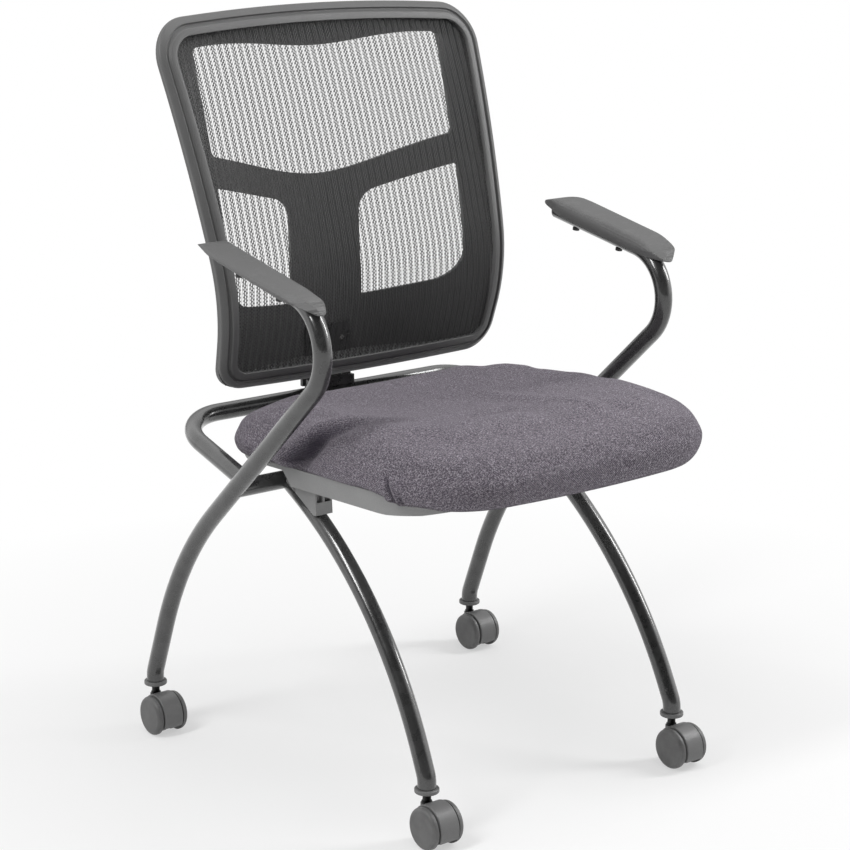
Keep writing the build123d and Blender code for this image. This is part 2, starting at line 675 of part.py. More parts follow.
def rest_block(side):
    """Wedge under the pan that comes down on top of the front leg and stops the seat."""
    x = side * FRONT_LEG_TOP_X
    block = Pos(x, REST_Y, PAN_BOTTOM - 15.1) * Box(REST_WIDTH, REST_LENGTH, 30.0)
    front = REST_Y - REST_LENGTH / 2
    for dx in (-5.6, 5.6):
        block -= Pos(x + dx, front, PAN_BOTTOM - 9.5) * Box(*REST_POCKET)
    block = seat_place(block)
    lean = FRONT_LEG_TOP_LEAN - 2.0
    under = Pos(x, PIVOT_Y, PIVOT_Z) * Rot(90 - lean, 0, 0) * Pos(0, -60.0, -40.0 + REST_DROP) * Box(
        60.0, 200.0, 80.0)
    return block - under - front_leg_rod(side, TUBE_R + 0.3)


# ------------------------------------------------------------------ casters
CASTERS = {
    "front_left": (FRONT_FOOT_X, FRONT_FOOT_Y),
    "front_right": (-FRONT_FOOT_X, FRONT_FOOT_Y),
    "rear_left": (ARM_X, REAR_FOOT_Y),
    "rear_right": (-ARM_X, REAR_FOOT_Y),
}


def leg_core(name):
    side = 1 if "left" in name else -1
    rod = front_leg_rod if "front" in name else arm_rod
    return rod(side, TUBE_BORE_R - 0.05)


def caster_socket(name):
    """Plastic insert in the leg's end with a round flange under the tube."""
    x, y = CASTERS[name]
    body = leg_core(name) & Pos(x, y, TUBE_END_Z + 13.0) * Box(60, 60, 26.0)
    flange = Pos(x, y, TUBE_END_Z - FLANGE_THICK / 2) * Cylinder(FLANGE_R, FLANGE_THICK)
    flange = fillet(flange.edges(), 1.2)
    bore = Pos(x, y, 0.5 * (STEM_TOP_Z + TUBE_END_Z)) * Cylinder(
        STEM_R + RUN_GAP, STEM_TOP_Z - TUBE_END_Z + 16.0)
    return body + flange - bore


def caster_stem(name):
    x, y = CASTERS[name]
    foot = HOOD_TOP_Z - 18.0
    pin = Pos(x, y, 0.5 * (foot + STEM_TOP_Z)) * Cylinder(STEM_R, STEM_TOP_Z - foot)
    collar = Pos(x, y, HOOD_TOP_Z + 1.2) * Cylinder(STEM_R + 1.2, 2.4)
    return chamfer(pin.edges().sort_by(Axis.Z)[-1:], 1.0) + collar


def caster_hood(name):
    """Plastic body between the wheels, with a shroud over their inner halves."""
    x, y = CASTERS[name]
    axle = Pos(x, y - CASTER_TRAIL, WHEEL_R)
    half = CASTER_HALF - WHEEL_DISC - HOOD_SIDE_GAP
    drum = Rot(0, 90, 0) * Cylinder(HOOD_R, 2 * half)
    drum = fillet(drum.edges(), 1.0)
    rooms = Rot(0, 90, 0) * Cylinder(BARREL_R + WHEEL_ROOM, 2 * half + 2)
    web = Rot(0, 90, 0) * Cylinder(HOOD_R, 8.0)
    shroud = drum - rooms + web
    shroud -= Pos(0, 13.0, -17.0) * Box(60, 40, 26)
    shroud -= Pos(0, 0, HOOD_LOW_Z - WHEEL_R - 15.0) * Box(60, 60, 30)
    boss = Pos(x, y, 0.5 * (HOOD_TOP_Z + 26.0)) * Cylinder(BOSS_R, HOOD_TOP_Z - 26.0)
    neck = Pos(x, y - 6.0, 34.0) * Box(8.0, 16.0, 20.0)
    hood = axle * shroud + boss + neck
    for side in (1, -1):
        hood -= wheel_room(name, side)
    hood -= caster_stem(name)
    return hood - caster_axle(name)


def wheel_room(name, side):
    """Space that a wheel's barrel turns in."""
    x, y = CASTERS[name]
    mid = x + side * (4.4 + (CASTER_HALF - 4.4) / 2)
    return Pos(mid, y - CASTER_TRAIL, WHEEL_R) * Rot(0, 90, 0) * Cylinder(
        BARREL_R + WHEEL_ROOM, CASTER_HALF - 4.4)


def caster_axle(name):
    x, y = CASTERS[name]
    return Pos(x, y - CASTER_TRAIL, WHEEL_R) * Rot(0, 90, 0) * Cylinder(AXLE_R, 36.0)


def caster_wheel(name, side):
    """One wheel: a domed outer disc on a narrower barrel."""
    x, y = CASTERS[name]
    disc = Rot(0, 90, 0) * Cylinder(WHEEL_R, WHEEL_DISC)
    disc = Pos(CASTER_HALF - WHEEL_DISC / 2, 0, 0) * disc
    outer_edge = disc.edges().sort_by(Axis.X)[-1:]
    disc = fillet(outer_edge, 4.8)
    barrel_width = CASTER_HALF - WHEEL_DISC - 5.0
    barrel = Pos(5.0 + barrel_width / 2, 0, 0) * Rot(0, 90, 0) * Cylinder(BARREL_R, barrel_width)
    bore = Rot(0, 90, 0) * Cylinder(AXLE_R + RUN_GAP, 37.0)
    wheel = disc + barrel - bore
    if side < 0:
        wheel = wheel.mirror(Plane.YZ)
    return Pos(x, y - CASTER_TRAIL, WHEEL_R) * wheel


# ------------------------------------------------------------------ all nodes
def nodes():
    yield "crossbar", crossbar()
    yield "seat_rail", seat_rail()
    yield "arm_screws", arm_screws()
    yield "back_frame", back_frame()
    yield "back_mesh", back_mesh()
    yield "support_shell", support_shell()
    yield "back_bracket", back_bracket()
    yield "back_bolts", back_bolts()
    yield "seat_pan", seat_place(seat_pan())
    yield "seat_board", seat_place(seat_board())
    yield "seat_cushion", seat_place(seat_cushion())
    yield "pivot_screws", [
        seat_place(clamp_screw(p)) for side in (1, -1) for p in clamp_screw_places(side)]
    for word, side in SIDES.items():
        yield f"arm_leg_tube_{word}", arm_leg_tube(side)
        yield f"front_leg_{word}", front_leg(side)
        yield f"arm_pad_{word}", arm_pad(side)
        yield f"arm_plug_{word}", arm_plug(side)
        yield f"pivot_clamp_{word}", seat_place(pivot_clamp(side))
        yield f"pivot_cap_{word}", seat_place(pivot_cap(side))
        yield f"rest_block_{word}", rest_block(side)
    for name in CASTERS:
        yield f"caster_socket_{name}", caster_socket(name)
        yield f"caster_stem_{name}", caster_stem(name)
        yield f"caster_hood_{name}", caster_hood(name)
        yield f"caster_axle_{name}", caster_axle(name)
        yield f"caster_wheel_{name}_inner", caster_wheel(name, -1 if "left" in name else 1)
        yield f"caster_wheel_{name}_outer", caster_wheel(name, 1 if "left" in name else -1)


def main():
    os.makedirs("parts", exist_ok=True)
    for name, shape in nodes():
        if isinstance(shape, list):
            shape = Compound(children=[s for s in shape])
        export_step(shape, f"parts/{name}.step")
        print(name, round(shape.volume, 1))


main()
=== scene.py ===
# %% [markdown]
# # A nesting chair: tubular frame, mesh back, padded seat that flips up
# The measured solids of the chair come in first and stay where they are. This
# lesson dresses them: it gives every hard part a finish, and makes again the
# parts that a solid can't show well, which are the moulded back frame, the
# stretched mesh, the foam cushion and the arm pads.
# Everything is in metres, the sitter faces -Y, and the floor is at z = 0.

# %% Load the chair's solids
import bpy
import bmesh
from math import asin, cos, exp, hypot, pi, radians, sin, tan
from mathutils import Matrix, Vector


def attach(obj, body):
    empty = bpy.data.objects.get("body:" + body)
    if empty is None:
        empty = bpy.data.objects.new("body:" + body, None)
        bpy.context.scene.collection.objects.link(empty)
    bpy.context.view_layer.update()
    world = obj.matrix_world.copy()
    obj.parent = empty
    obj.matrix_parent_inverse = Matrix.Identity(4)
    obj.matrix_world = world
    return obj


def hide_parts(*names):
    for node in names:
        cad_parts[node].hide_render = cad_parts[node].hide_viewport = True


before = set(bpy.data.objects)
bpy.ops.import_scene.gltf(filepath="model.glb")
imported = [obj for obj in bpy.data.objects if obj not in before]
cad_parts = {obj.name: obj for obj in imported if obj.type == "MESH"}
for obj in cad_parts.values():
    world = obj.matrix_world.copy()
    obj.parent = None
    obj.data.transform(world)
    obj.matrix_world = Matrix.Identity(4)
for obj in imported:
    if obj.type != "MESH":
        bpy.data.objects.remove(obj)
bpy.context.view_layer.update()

# %% [markdown]
# ## Picking things
# An operator works on whatever is selected, and the loaded solids arrive
# selected. These helpers clear the selection, pick one object, and pick the
# vertices, edges or faces of a mesh by their place, as you would by eye.


# %% Picking helpers
def pick(piece):
    bpy.ops.object.select_all(action="DESELECT")
    piece.select_set(True)
    bpy.context.view_layer.objects.active = piece


def start_mesh(name):
    """The primitive just added gets its name and is opened for shaping, nothing picked."""
    piece = bpy.context.active_object
    piece.name = name
    piece.data.name = name
    bpy.ops.object.mode_set(mode="EDIT")
    bpy.ops.mesh.select_all(action="DESELECT")
    return piece


def pick_parts(piece, kind, test):
    """In edit mode, picks the verts, edges or faces whose middle passes the test."""
    bpy.ops.mesh.select_mode(type={"verts": "VERT", "edges": "EDGE", "faces": "FACE"}[kind])
    bpy.ops.mesh.select_all(action="DESELECT")
    shape = bmesh.from_edit_mesh(piece.data)
    found = 0
    for part in getattr(shape, kind):
        if kind == "verts":
            middle = part.co
        elif kind == "edges":
            middle = (part.verts[0].co + part.verts[1].co) / 2
        else:
            middle = part.calc_center_median()
        if test(middle, part):
            part.select_set(True)
            found += 1
    shape.select_flush_mode()
    bmesh.update_edit_mesh(piece.data)
    return found


def move_points(piece, place):
    """Moves every vertex to place(co), in object mode."""
    for vertex in piece.data.vertices:
        vertex.co = place(vertex.co)
    piece.data.update()


def finish_mesh(piece, smooth_angle=35):
    """Leaves edit mode, fixes the place in the mesh and smooths the gentle edges."""
    if piece.mode == "EDIT":
        bpy.ops.object.mode_set(mode="OBJECT")
    pick(piece)
    bpy.ops.object.transform_apply(location=True, rotation=True, scale=True)
    bpy.ops.object.shade_smooth_by_angle(angle=radians(smooth_angle))
    print(piece.name, len(piece.data.polygons), "faces")


def apply_all(piece):
    pick(piece)
    for modifier in list(piece.modifiers):
        bpy.ops.object.modifier_apply(modifier=modifier.name)


bpy.ops.object.select_all(action="DESELECT")
print("picked:", len(bpy.context.selected_objects))

# %% [markdown]
# ## Joining nodes
# The light, the finishes and the floor are all graphs of nodes. These helpers
# add a node and feed it: another node's output is linked to the socket, and a
# plain value is set on the socket itself.


# %% Node helpers
def feed(tree, socket, value):
    if isinstance(value, bpy.types.NodeSocket):
        tree.links.new(value, socket)
    else:
        socket.default_value = value


def node(tree, kind, sets=None, **settings):
    made = tree.nodes.new(kind)
    for name, value in settings.items():
        setattr(made, name, value)
    for name, value in (sets or {}).items():
        feed(tree, made.inputs[name], value)
    return made


def sums(tree, operation, a, b=0.0, c=0.0):
    return node(tree, "ShaderNodeMath", {0: a, 1: b, 2: c}, operation=operation).outputs[0]


def between(tree, value, low, high, to_low, to_high, ease="LINEAR"):
    """Takes low..high to to_low..to_high, and holds the ends beyond them."""
    made = node(tree, "ShaderNodeMapRange", {
        "Value": value, "From Min": low, "From Max": high, "To Min": to_low, "To Max": to_high},
        interpolation_type=ease)
    return made.outputs["Result"]


def two_colours(tree, share, first, second):
    made = node(tree, "ShaderNodeMix", {0: share, 6: first, 7: second}, data_type="RGBA")
    return made.outputs[2]


def two_shaders(tree, share, first, second):
    return node(tree, "ShaderNodeMixShader", {"Fac": share, 1: first, 2: second}).outputs[0]


def grey(level, warm=0.0):
    return (level + warm, level, level - warm, 1.0)


# %% [markdown]
# ## The camera
# The photograph looks at the chair from the sitter's right and a little above,
# with a long lens. The camera stands about 2.9 m away at that angle, and a small
# lens shift puts the chair at the height it has in the picture.

# %% Camera
LOOK_AT = Vector((0.0, 0.038, 0.450))
TURN, RISE, DISTANCE = radians(-37.63), radians(13.9), 2.860
SENSOR = 36.0                    # mm across the picture
PICTURE = 850.0                  # pixels across the picture, and down it
LENS_PIXELS = 2320.0             # length of the lens, in the picture's pixels
LEVEL_ROW = 392.8                # the row of pixels that the camera points at

towards_camera = Vector((sin(TURN) * cos(RISE), -cos(TURN) * cos(RISE), sin(RISE)))
bpy.ops.object.camera_add(location=LOOK_AT + towards_camera * DISTANCE)
camera = bpy.context.active_object
camera.name = "camera"
camera.rotation_mode = "QUATERNION"
camera.rotation_quaternion = (-towards_camera).to_track_quat("-Z", "Y")
camera.data.sensor_width = SENSOR
camera.data.lens = LENS_PIXELS * SENSOR / PICTURE
camera.data.shift_y = -(PICTURE / 2 - LEVEL_ROW) / PICTURE
camera.data.clip_end = 100.0
bpy.context.scene.camera = camera
print("lens:", round(camera.data.lens, 2), "mm")

# %% [markdown]
# ## Light, floor and white surroundings
# A studio shot on white: a tall soft lamp high on the left, a slightly weaker
# one on the right, a faint one overhead, and a pale floor that only keeps the
# chair's soft shadow. The lamps are held at a level where a colour comes out
# about as it is written. The white around the chair is what the camera sees,
# and isn't a lamp. Reflections see white at the sides, a dark room behind the
# camera and grey screens beyond the chair, as in a real studio, so a round tube
# gets a dark core between two bright lines, and a darker rim outside them.

# %% Surroundings
FILL_LIGHT, WHITE_VIEW = 0.40, 1.0
# how far a direction points to the camera, from and to, and the brightness at each
MIRRORED_ROOM = (0.12, 0.62, 1.9, 0.04)
MIRRORED_SCREENS = (-0.85, -0.45, 0.25, 1.0)

surroundings = bpy.data.worlds.new("studio_white")
bpy.context.scene.world = surroundings
surroundings.use_nodes = True
sky = surroundings.node_tree
sky.nodes.clear()
ray = node(sky, "ShaderNodeLightPath").outputs
heading = node(sky, "ShaderNodeTexCoord").outputs["Generated"]
facing = node(sky, "ShaderNodeVectorMath", {0: heading, 1: towards_camera},
              operation="DOT_PRODUCT").outputs["Value"]
mirrored = sums(sky, "MULTIPLY", between(sky, facing, *MIRRORED_ROOM, "SMOOTHSTEP"),
                between(sky, facing, *MIRRORED_SCREENS, "SMOOTHSTEP"))
fill_light = node(sky, "ShaderNodeBackground", {"Color": grey(1.0), "Strength": FILL_LIGHT})
white_view = node(sky, "ShaderNodeBackground", {"Color": grey(1.0), "Strength": WHITE_VIEW})
mirror_view = node(sky, "ShaderNodeBackground", {"Strength": mirrored})
lit = two_shaders(sky, ray["Is Glossy Ray"], fill_light.outputs[0], mirror_view.outputs[0])
seen = sums(sky, "MAXIMUM", ray["Is Camera Ray"], ray["Is Transmission Ray"])
node(sky, "ShaderNodeOutputWorld",
     {"Surface": two_shaders(sky, seen, lit, white_view.outputs[0])})
print("surroundings:", len(sky.nodes), "nodes")


# %% Lamps
def soft_lamp(name, place, aim, size, watts):
    bpy.ops.object.light_add(type="AREA", location=place)
    lamp = bpy.context.active_object
    lamp.name = name
    lamp.rotation_mode = "QUATERNION"
    lamp.rotation_quaternion = (Vector(aim) - Vector(place)).to_track_quat("-Z", "Y")
    lamp.data.shape = "RECTANGLE"
    lamp.data.size, lamp.data.size_y = size
    lamp.data.energy = watts


soft_lamp("key_lamp", (-2.2, -0.2, 2.6), (0, 0, 0.45), (0.5, 1.6), 48)
soft_lamp("side_lamp", (2.1, -1.0, 2.0), (0, 0, 0.5), (0.4, 1.8), 42)
soft_lamp("top_lamp", (0.1, -0.3, 3.0), (0, 0, 0.4), (1.2, 1.2), 14)
bpy.context.scene.view_settings.view_transform = "Standard"

# %% [markdown]
# ## Finishes
# Each finish is a small graph of nodes on the Principled shader. Colour,
# roughness and relief come from noise and waves measured in metres on the
# piece's own coordinates, so that a grain of 0.7 mm is 0.7 mm on every part.
# Numbers that are the same all over stay on the shader's own sockets.


# %% Finish helpers
def empty_material(name):
    material = bpy.data.materials.new(name)
    material.use_nodes = True
    material.node_tree.nodes.clear()
    return material, material.node_tree


def new_finish(name, metallic=0.0, specular=0.5):
    """A material, its nodes, its shader, and the place on the piece in metres."""
    finish, tree = empty_material(name)
    shader = node(tree, "ShaderNodeBsdfPrincipled",
                  {"Metallic": metallic, "Specular IOR Level": specular})
    node(tree, "ShaderNodeOutputMaterial", {"Surface": shader.outputs[0]})
    place = node(tree, "ShaderNodeTexCoord").outputs["Object"]
    return finish, tree, shader, place


def noise(tree, place, scale, detail=2.0, rough=0.5):
    return node(tree, "ShaderNodeTexNoise", {
        "Vector": place, "Scale": scale, "Detail": detail, "Roughness": rough}).outputs["Fac"]


def relief(tree, shader, height, depth):
    """Bump of that depth in metres."""
    made = node(tree, "ShaderNodeBump", {"Height": height, "Distance": depth, "Strength": 1.0})
    tree.links.new(made.outputs["Normal"], shader.inputs["Normal"])


# %% [markdown]
# ### Painted steel tube
# The tubes are powder-coated in a dark metallic grey. Real powder coat has a
# faint orange-peel skin, so the highlight along a tube wavers a little. Low on
# the legs, where shoes and other chairs knock them, it is scuffed paler.


# %% Tube paint
PAINT_DARK, PAINT_LIGHT, PAINT_FLECK, PAINT_SCUFFED = (
    grey(0.034), grey(0.050), grey(0.13), grey(0.13))
PEEL_DEPTH = 0.00006
SCUFF_FULL, SCUFF_GONE = 0.06, 0.20              # heights over the floor


def make_tube_paint():
    finish, tree, shader, place = new_finish("frame_paint", metallic=0.25, specular=0.6)
    cloud = noise(tree, place, 60.0, 3.0)
    fleck = noise(tree, place, 2600.0, 1.0)
    base = two_colours(tree, between(tree, cloud, 0.35, 0.65, 0, 1), PAINT_DARK, PAINT_LIGHT)
    sparkle = between(tree, fleck, 0.62, 0.75, 0, 0.30)
    base = two_colours(tree, sparkle, base, PAINT_FLECK)
    height = node(tree, "ShaderNodeSeparateXYZ", {"Vector": place}).outputs["Z"]
    low_down = between(tree, height, SCUFF_FULL, SCUFF_GONE, 1.0, 0.0)
    scuff = between(tree, noise(tree, place, 210.0, 5.0, 0.7), 0.62, 0.70, 0, 1)
    scuff = sums(tree, "MULTIPLY", scuff, low_down)
    tree.links.new(two_colours(tree, scuff, base, PAINT_SCUFFED), shader.inputs["Base Color"])
    rough = between(tree, cloud, 0.3, 0.7, 0.24, 0.32)
    tree.links.new(sums(tree, "ADD", rough, sums(tree, "MULTIPLY", scuff, 0.25)),
                   shader.inputs["Roughness"])
    shader.inputs["Coat Weight"].default_value = 0.8
    shader.inputs["Coat Roughness"].default_value = 0.09
    relief(tree, shader, noise(tree, place, 420.0, 2.0), PEEL_DEPTH)
    return finish


tube_paint = make_tube_paint()
print(tube_paint.name, len(tube_paint.node_tree.nodes), "nodes")

# %% [markdown]
# ### Moulded plastics
# The back frame, arm pads, seat pan and casters are injection moulded. The
# mould's surface is etched to a fine grain, which is what makes such plastic
# satin instead of glossy. One helper makes them all: a base colour with a
# slight drift, a grain of a given size, and rubbed patches where the grain has
# been polished down by use.


# %% Moulded plastic
def make_plastic(name, level, rough, grain_size, grain_depth, rub=0.0):
    finish, tree, shader, place = new_finish(name, specular=0.45)
    drift = noise(tree, place, 14.0, 3.0)
    rubbed = between(tree, noise(tree, place, 38.0, 4.0, 0.6), 0.52, 0.66, 0, 1)
    grain = node(tree, "ShaderNodeTexVoronoi", {"Vector": place, "Scale": 1.0 / grain_size,
                                                "Randomness": 1.0}).outputs["Distance"]
    speckle = between(tree, grain, 0.1, 0.7, 0, 1)
    base = two_colours(tree, between(tree, drift, 0.3, 0.7, 0, 1),
                       grey(level * 0.93), grey(level * 1.07))
    base = two_colours(tree, sums(tree, "MULTIPLY", speckle, 0.40), base, grey(level * 1.5))
    tree.links.new(base, shader.inputs["Base Color"])
    worn = sums(tree, "MULTIPLY", rubbed, rub)
    tree.links.new(sums(tree, "SUBTRACT", rough, worn), shader.inputs["Roughness"])
    fine = noise(tree, place, 1.6 / grain_size, 2.0)
    both = sums(tree, "ADD", sums(tree, "MULTIPLY", grain, 0.6), sums(tree, "MULTIPLY", fine, 0.5))
    relief(tree, shader, both, grain_depth)
    return finish


back_plastic = make_plastic("back_plastic", 0.080, 0.46, 0.0009, 0.00010, rub=0.06)
pad_plastic = make_plastic("pad_plastic", 0.086, 0.50, 0.0011, 0.00014, rub=0.16)
pan_plastic = make_plastic("pan_plastic", 0.225, 0.48, 0.0010, 0.00012, rub=0.05)
shell_plastic = make_plastic("shell_plastic", 0.085, 0.50, 0.0010, 0.00010, rub=0.05)
caster_plastic = make_plastic("caster_plastic", 0.125, 0.40, 0.0009, 0.00011, rub=0.10)
print(back_plastic.name, pad_plastic.name, pan_plastic.name, shell_plastic.name,
      caster_plastic.name)

# %% [markdown]
# ### Wheels, bright steel and plywood
# The wheels are hard nylon: dull on the tread, where they roll and pick up
# dust, and a little shinier on the disc. Bolts, hinge screws and axles are
# zinc-plated steel, with the faint cloudy spangle that plating has. The caster
# stems and the screws under the arm pads are blackened. The board in the seat
# is birch plywood, whose edge shows its plies as thin dark lines.


# %% Wheel nylon
NYLON_DARK, NYLON_LIGHT, DUST = grey(0.094), grey(0.128), grey(0.22, 0.008)
DUST_GONE = 0.014                # height over the floor
NYLON_RELIEF = 0.00009


def make_wheel_nylon():
    finish, tree, shader, place = new_finish("wheel_plastic", specular=0.45)
    dust = between(tree, noise(tree, place, 160.0, 5.0, 0.65), 0.48, 0.68, 0, 1)
    height = node(tree, "ShaderNodeSeparateXYZ", {"Vector": place}).outputs["Z"]
    low = between(tree, height, 0.0, DUST_GONE, 1.0, 0.25)
    dust = sums(tree, "MULTIPLY", dust, low)
    base = two_colours(tree, between(tree, noise(tree, place, 45.0), 0.3, 0.7, 0, 1),
                       NYLON_DARK, NYLON_LIGHT)
    base = two_colours(tree, sums(tree, "MULTIPLY", dust, 0.6), base, DUST)
    tree.links.new(base, shader.inputs["Base Color"])
    tree.links.new(between(tree, dust, 0, 1, 0.42, 0.72), shader.inputs["Roughness"])
    relief(tree, shader, noise(tree, place, 1100.0, 2.0), NYLON_RELIEF)
    return finish


wheel_nylon = make_wheel_nylon()
print(wheel_nylon.name)


# %% Bright steel
ZINC_DARK, ZINC_LIGHT = grey(0.42), grey(0.56, 0.01)
STEEL_DARK, STEEL_LIGHT = grey(0.020), grey(0.060)
STEEL_RELIEF = 0.00003


def make_zinc():
    finish, tree, shader, place = new_finish("zinc_steel", metallic=1.0)
    spangle = node(tree, "ShaderNodeTexVoronoi", {"Vector": place, "Scale": 700.0})
    share = node(tree, "ShaderNodeSeparateXYZ", {"Vector": spangle.outputs["Color"]}).outputs["X"]
    tree.links.new(two_colours(tree, share, ZINC_DARK, ZINC_LIGHT), shader.inputs["Base Color"])
    tree.links.new(between(tree, share, 0, 1, 0.24, 0.38), shader.inputs["Roughness"])
    relief(tree, shader, noise(tree, place, 1100.0, 3.0), STEEL_RELIEF)
    return finish


def make_black_steel():
    finish, tree, shader, place = new_finish("black_steel", metallic=1.0)
    cloud = noise(tree, place, 260.0, 3.0)
    tree.links.new(two_colours(tree, cloud, STEEL_DARK, STEEL_LIGHT), shader.inputs["Base Color"])
    tree.links.new(between(tree, cloud, 0.3, 0.7, 0.26, 0.42), shader.inputs["Roughness"])
    relief(tree, shader, noise(tree, place, 1300.0, 3.0), STEEL_RELIEF)
    return finish


bright_steel = make_zinc()
black_steel = make_black_steel()
dark_screw = make_plastic("black_screw", 0.02, 0.35, 0.0006, 0.00002)
print(bright_steel.name, black_steel.name, dark_screw.name)


# %% Plywood
TWO_PLIES = 0.0030
BIRCH_DARK, BIRCH_LIGHT, GLUE = (
    (0.46, 0.31, 0.17, 1), (0.62, 0.45, 0.27, 1), (0.30, 0.19, 0.10, 1))


def make_plywood():
    finish, tree, shader, place = new_finish("plywood", specular=0.3)
    split = node(tree, "ShaderNodeSeparateXYZ", {"Vector": place})
    plies = sums(tree, "SINE", sums(tree, "MULTIPLY", split.outputs["Z"], 2 * pi / TWO_PLIES))
    stretch = node(tree, "ShaderNodeMapping", {"Vector": place, "Scale": (160.0, 9.0, 40.0)})
    grain = noise(tree, stretch.outputs["Vector"], 1.0, 4.0, 0.6)
    face = two_colours(tree, grain, BIRCH_DARK, BIRCH_LIGHT)
    dark = between(tree, plies, -0.2, 0.9, 0.0, 0.45)
    tree.links.new(two_colours(tree, dark, face, GLUE), shader.inputs["Base Color"])
    shader.inputs["Roughness"].default_value = 0.7
    relief(tree, shader, grain, 0.0002)
    return finish


plywood = make_plywood()
print(plywood.name)

# %% [markdown]
# ### Seat cloth
# The seat is covered in a woven polyester with a fine diagonal rib, 2.4 mm
# from rib to rib, in a dusty purple grey. The cloth is one piece, so the ribs
# cross the top and come down the front and the sides without a break. Short
# crosswise stitches cut each rib, single yarns are much lighter or darker, and
# a soft sheen brightens it where it turns away. The valleys between the ribs
# are painted darker, as painted shade in those small recesses. Where the cloth
# is pinched in a fold, sinks into the hollow or closes in a corner tuck, painted
# shade darkens its colour, and an attribute of the mesh says where. The ribs
# read the cloth's own flat coordinates, which the cushion stores below as a UV
# map in decimetres: a point down the side lies that much further out there.


# %% Seat cloth
RIB, STITCH = 0.024, 0.019       # from one to the next, in decimetres
RIB_X, RIB_Y = 0.84, 0.54        # the direction square to the ribs
CLOTH_DARK, CLOTH_LIGHT = (0.166, 0.148, 0.174, 1), (0.198, 0.178, 0.206, 1)
# painted shade: the dark colour of the rib valleys, and the darker colour of the cloth in folds,
# the hollow and tucks
VALLEY_SHADE, SHADE_COLOUR = (0.052, 0.044, 0.057, 1), (0.026, 0.021, 0.032, 1)
DARK_YARN, LIGHT_YARN = (0.045, 0.038, 0.050, 1), (0.42, 0.39, 0.43, 1)
CLOTH_RELIEF = 0.00050


def make_seat_cloth():
    finish, tree, shader, place = new_finish("seat_fabric", specular=0.2)
    flat = node(tree, "ShaderNodeUVMap", uv_map="flat_cloth").outputs["UV"]
    split = node(tree, "ShaderNodeSeparateXYZ", {"Vector": flat})
    u, v = split.outputs["X"], split.outputs["Y"]
    drift = sums(tree, "MULTIPLY", noise(tree, place, 55.0, 2.0), 0.013)
    jitter = sums(tree, "MULTIPLY", noise(tree, place, 260.0, 2.0), 0.010)
    ribs = sums(tree, "ADD", sums(tree, "MULTIPLY", u, RIB_X), sums(tree, "MULTIPLY", v, RIB_Y))
    ribs = sums(tree, "ADD", ribs, sums(tree, "ADD", drift, jitter))
    rib_wave = sums(tree, "SINE", sums(tree, "MULTIPLY", ribs, 2 * pi / RIB))
    across = sums(tree, "SUBTRACT",
                  sums(tree, "MULTIPLY", v, RIB_X), sums(tree, "MULTIPLY", u, RIB_Y))
    stitch_wave = sums(tree, "SINE", sums(tree, "MULTIPLY", across, 2 * pi / STITCH))
    rib = between(tree, rib_wave, -1, 1, 0, 1)
    stitch = between(tree, stitch_wave, -1, 1, 0, 1)
    yarn = noise(tree, place, 620.0, 2.0, 0.6)
    tone = noise(tree, place, 9.0, 2.0)
    base = two_colours(tree, between(tree, tone, 0.3, 0.7, 0, 1), CLOTH_DARK, CLOTH_LIGHT)
    # painted shade: the low part of each rib is darkened in the colour, for the shade in the valley
    valley_shade = sums(tree, "MULTIPLY", between(tree, rib, 0.0, 0.60, 1.0, 0.0), 0.92)
    base = two_colours(tree, valley_shade, base, VALLEY_SHADE)
    dark_yarn = sums(tree, "MULTIPLY", between(tree, yarn, 0.37, 0.50, 1, 0), 0.78)
    base = two_colours(tree, dark_yarn, base, DARK_YARN)
    light_yarn = sums(tree, "MULTIPLY", between(tree, yarn, 0.52, 0.65, 0, 1), 0.68)
    base = two_colours(tree, light_yarn, base, LIGHT_YARN)
    # painted shade: the mesh's attribute darkens the cloth in the fold, the hollow and the tucks
    painted_shade = node(tree, "ShaderNodeAttribute", attribute_name="painted_shade").outputs["Fac"]
    shade_share = sums(tree, "MULTIPLY", painted_shade, 0.94)
    base = two_colours(tree, shade_share, base, SHADE_COLOUR)
    tree.links.new(base, shader.inputs["Base Color"])
    shader.inputs["Roughness"].default_value = 0.88
    shader.inputs["Sheen Weight"].default_value = 0.16
    shader.inputs["Sheen Roughness"].default_value = 0.45
    shader.inputs["Sheen Tint"].default_value = (0.85, 0.80, 0.88, 1.0)
    woven = sums(tree, "ADD", sums(tree, "MULTIPLY", rib, 0.7), sums(tree, "MULTIPLY", stitch, 0.3))
    height = sums(tree, "ADD", woven, sums(tree, "MULTIPLY", yarn, 0.5))
    relief(tree, shader, height, CLOTH_RELIEF)
    return finish


seat_cloth = make_seat_cloth()
print(seat_cloth.name, len(seat_cloth.node_tree.nodes), "nodes")

# %% [markdown]
# ### Back mesh
# The mesh is a warp knit. Bands 7.7 mm wide that look solid run up the back,
# with clear slots 2 mm wide between them, every 9.7 mm. Each band is itself a
# net of thin yarns that part and meet again, which leaves rows of leaf-shaped
# holes. The holes are cut by transparency, worked out from x and z alone: a
# slot where x is near the middle of a pitch, and a leaf where x is within a
# sine of z.


# %% Back mesh material
MESH_PITCH = 0.0097
SLOT_SHIFT = 0.535               # along x: puts the slots where the photograph has them
SLOT_SHARE = 0.21                # of the pitch
COLUMNS = 1.5                    # of leaves, in half a band
LEAF_LENGTH = 0.0046
LEAF_HALF = 0.29                 # of its column's width, where it is widest
MESH_DARK, MESH_LIGHT, MESH_RELIEF = grey(0.012), grey(0.040), 0.0004


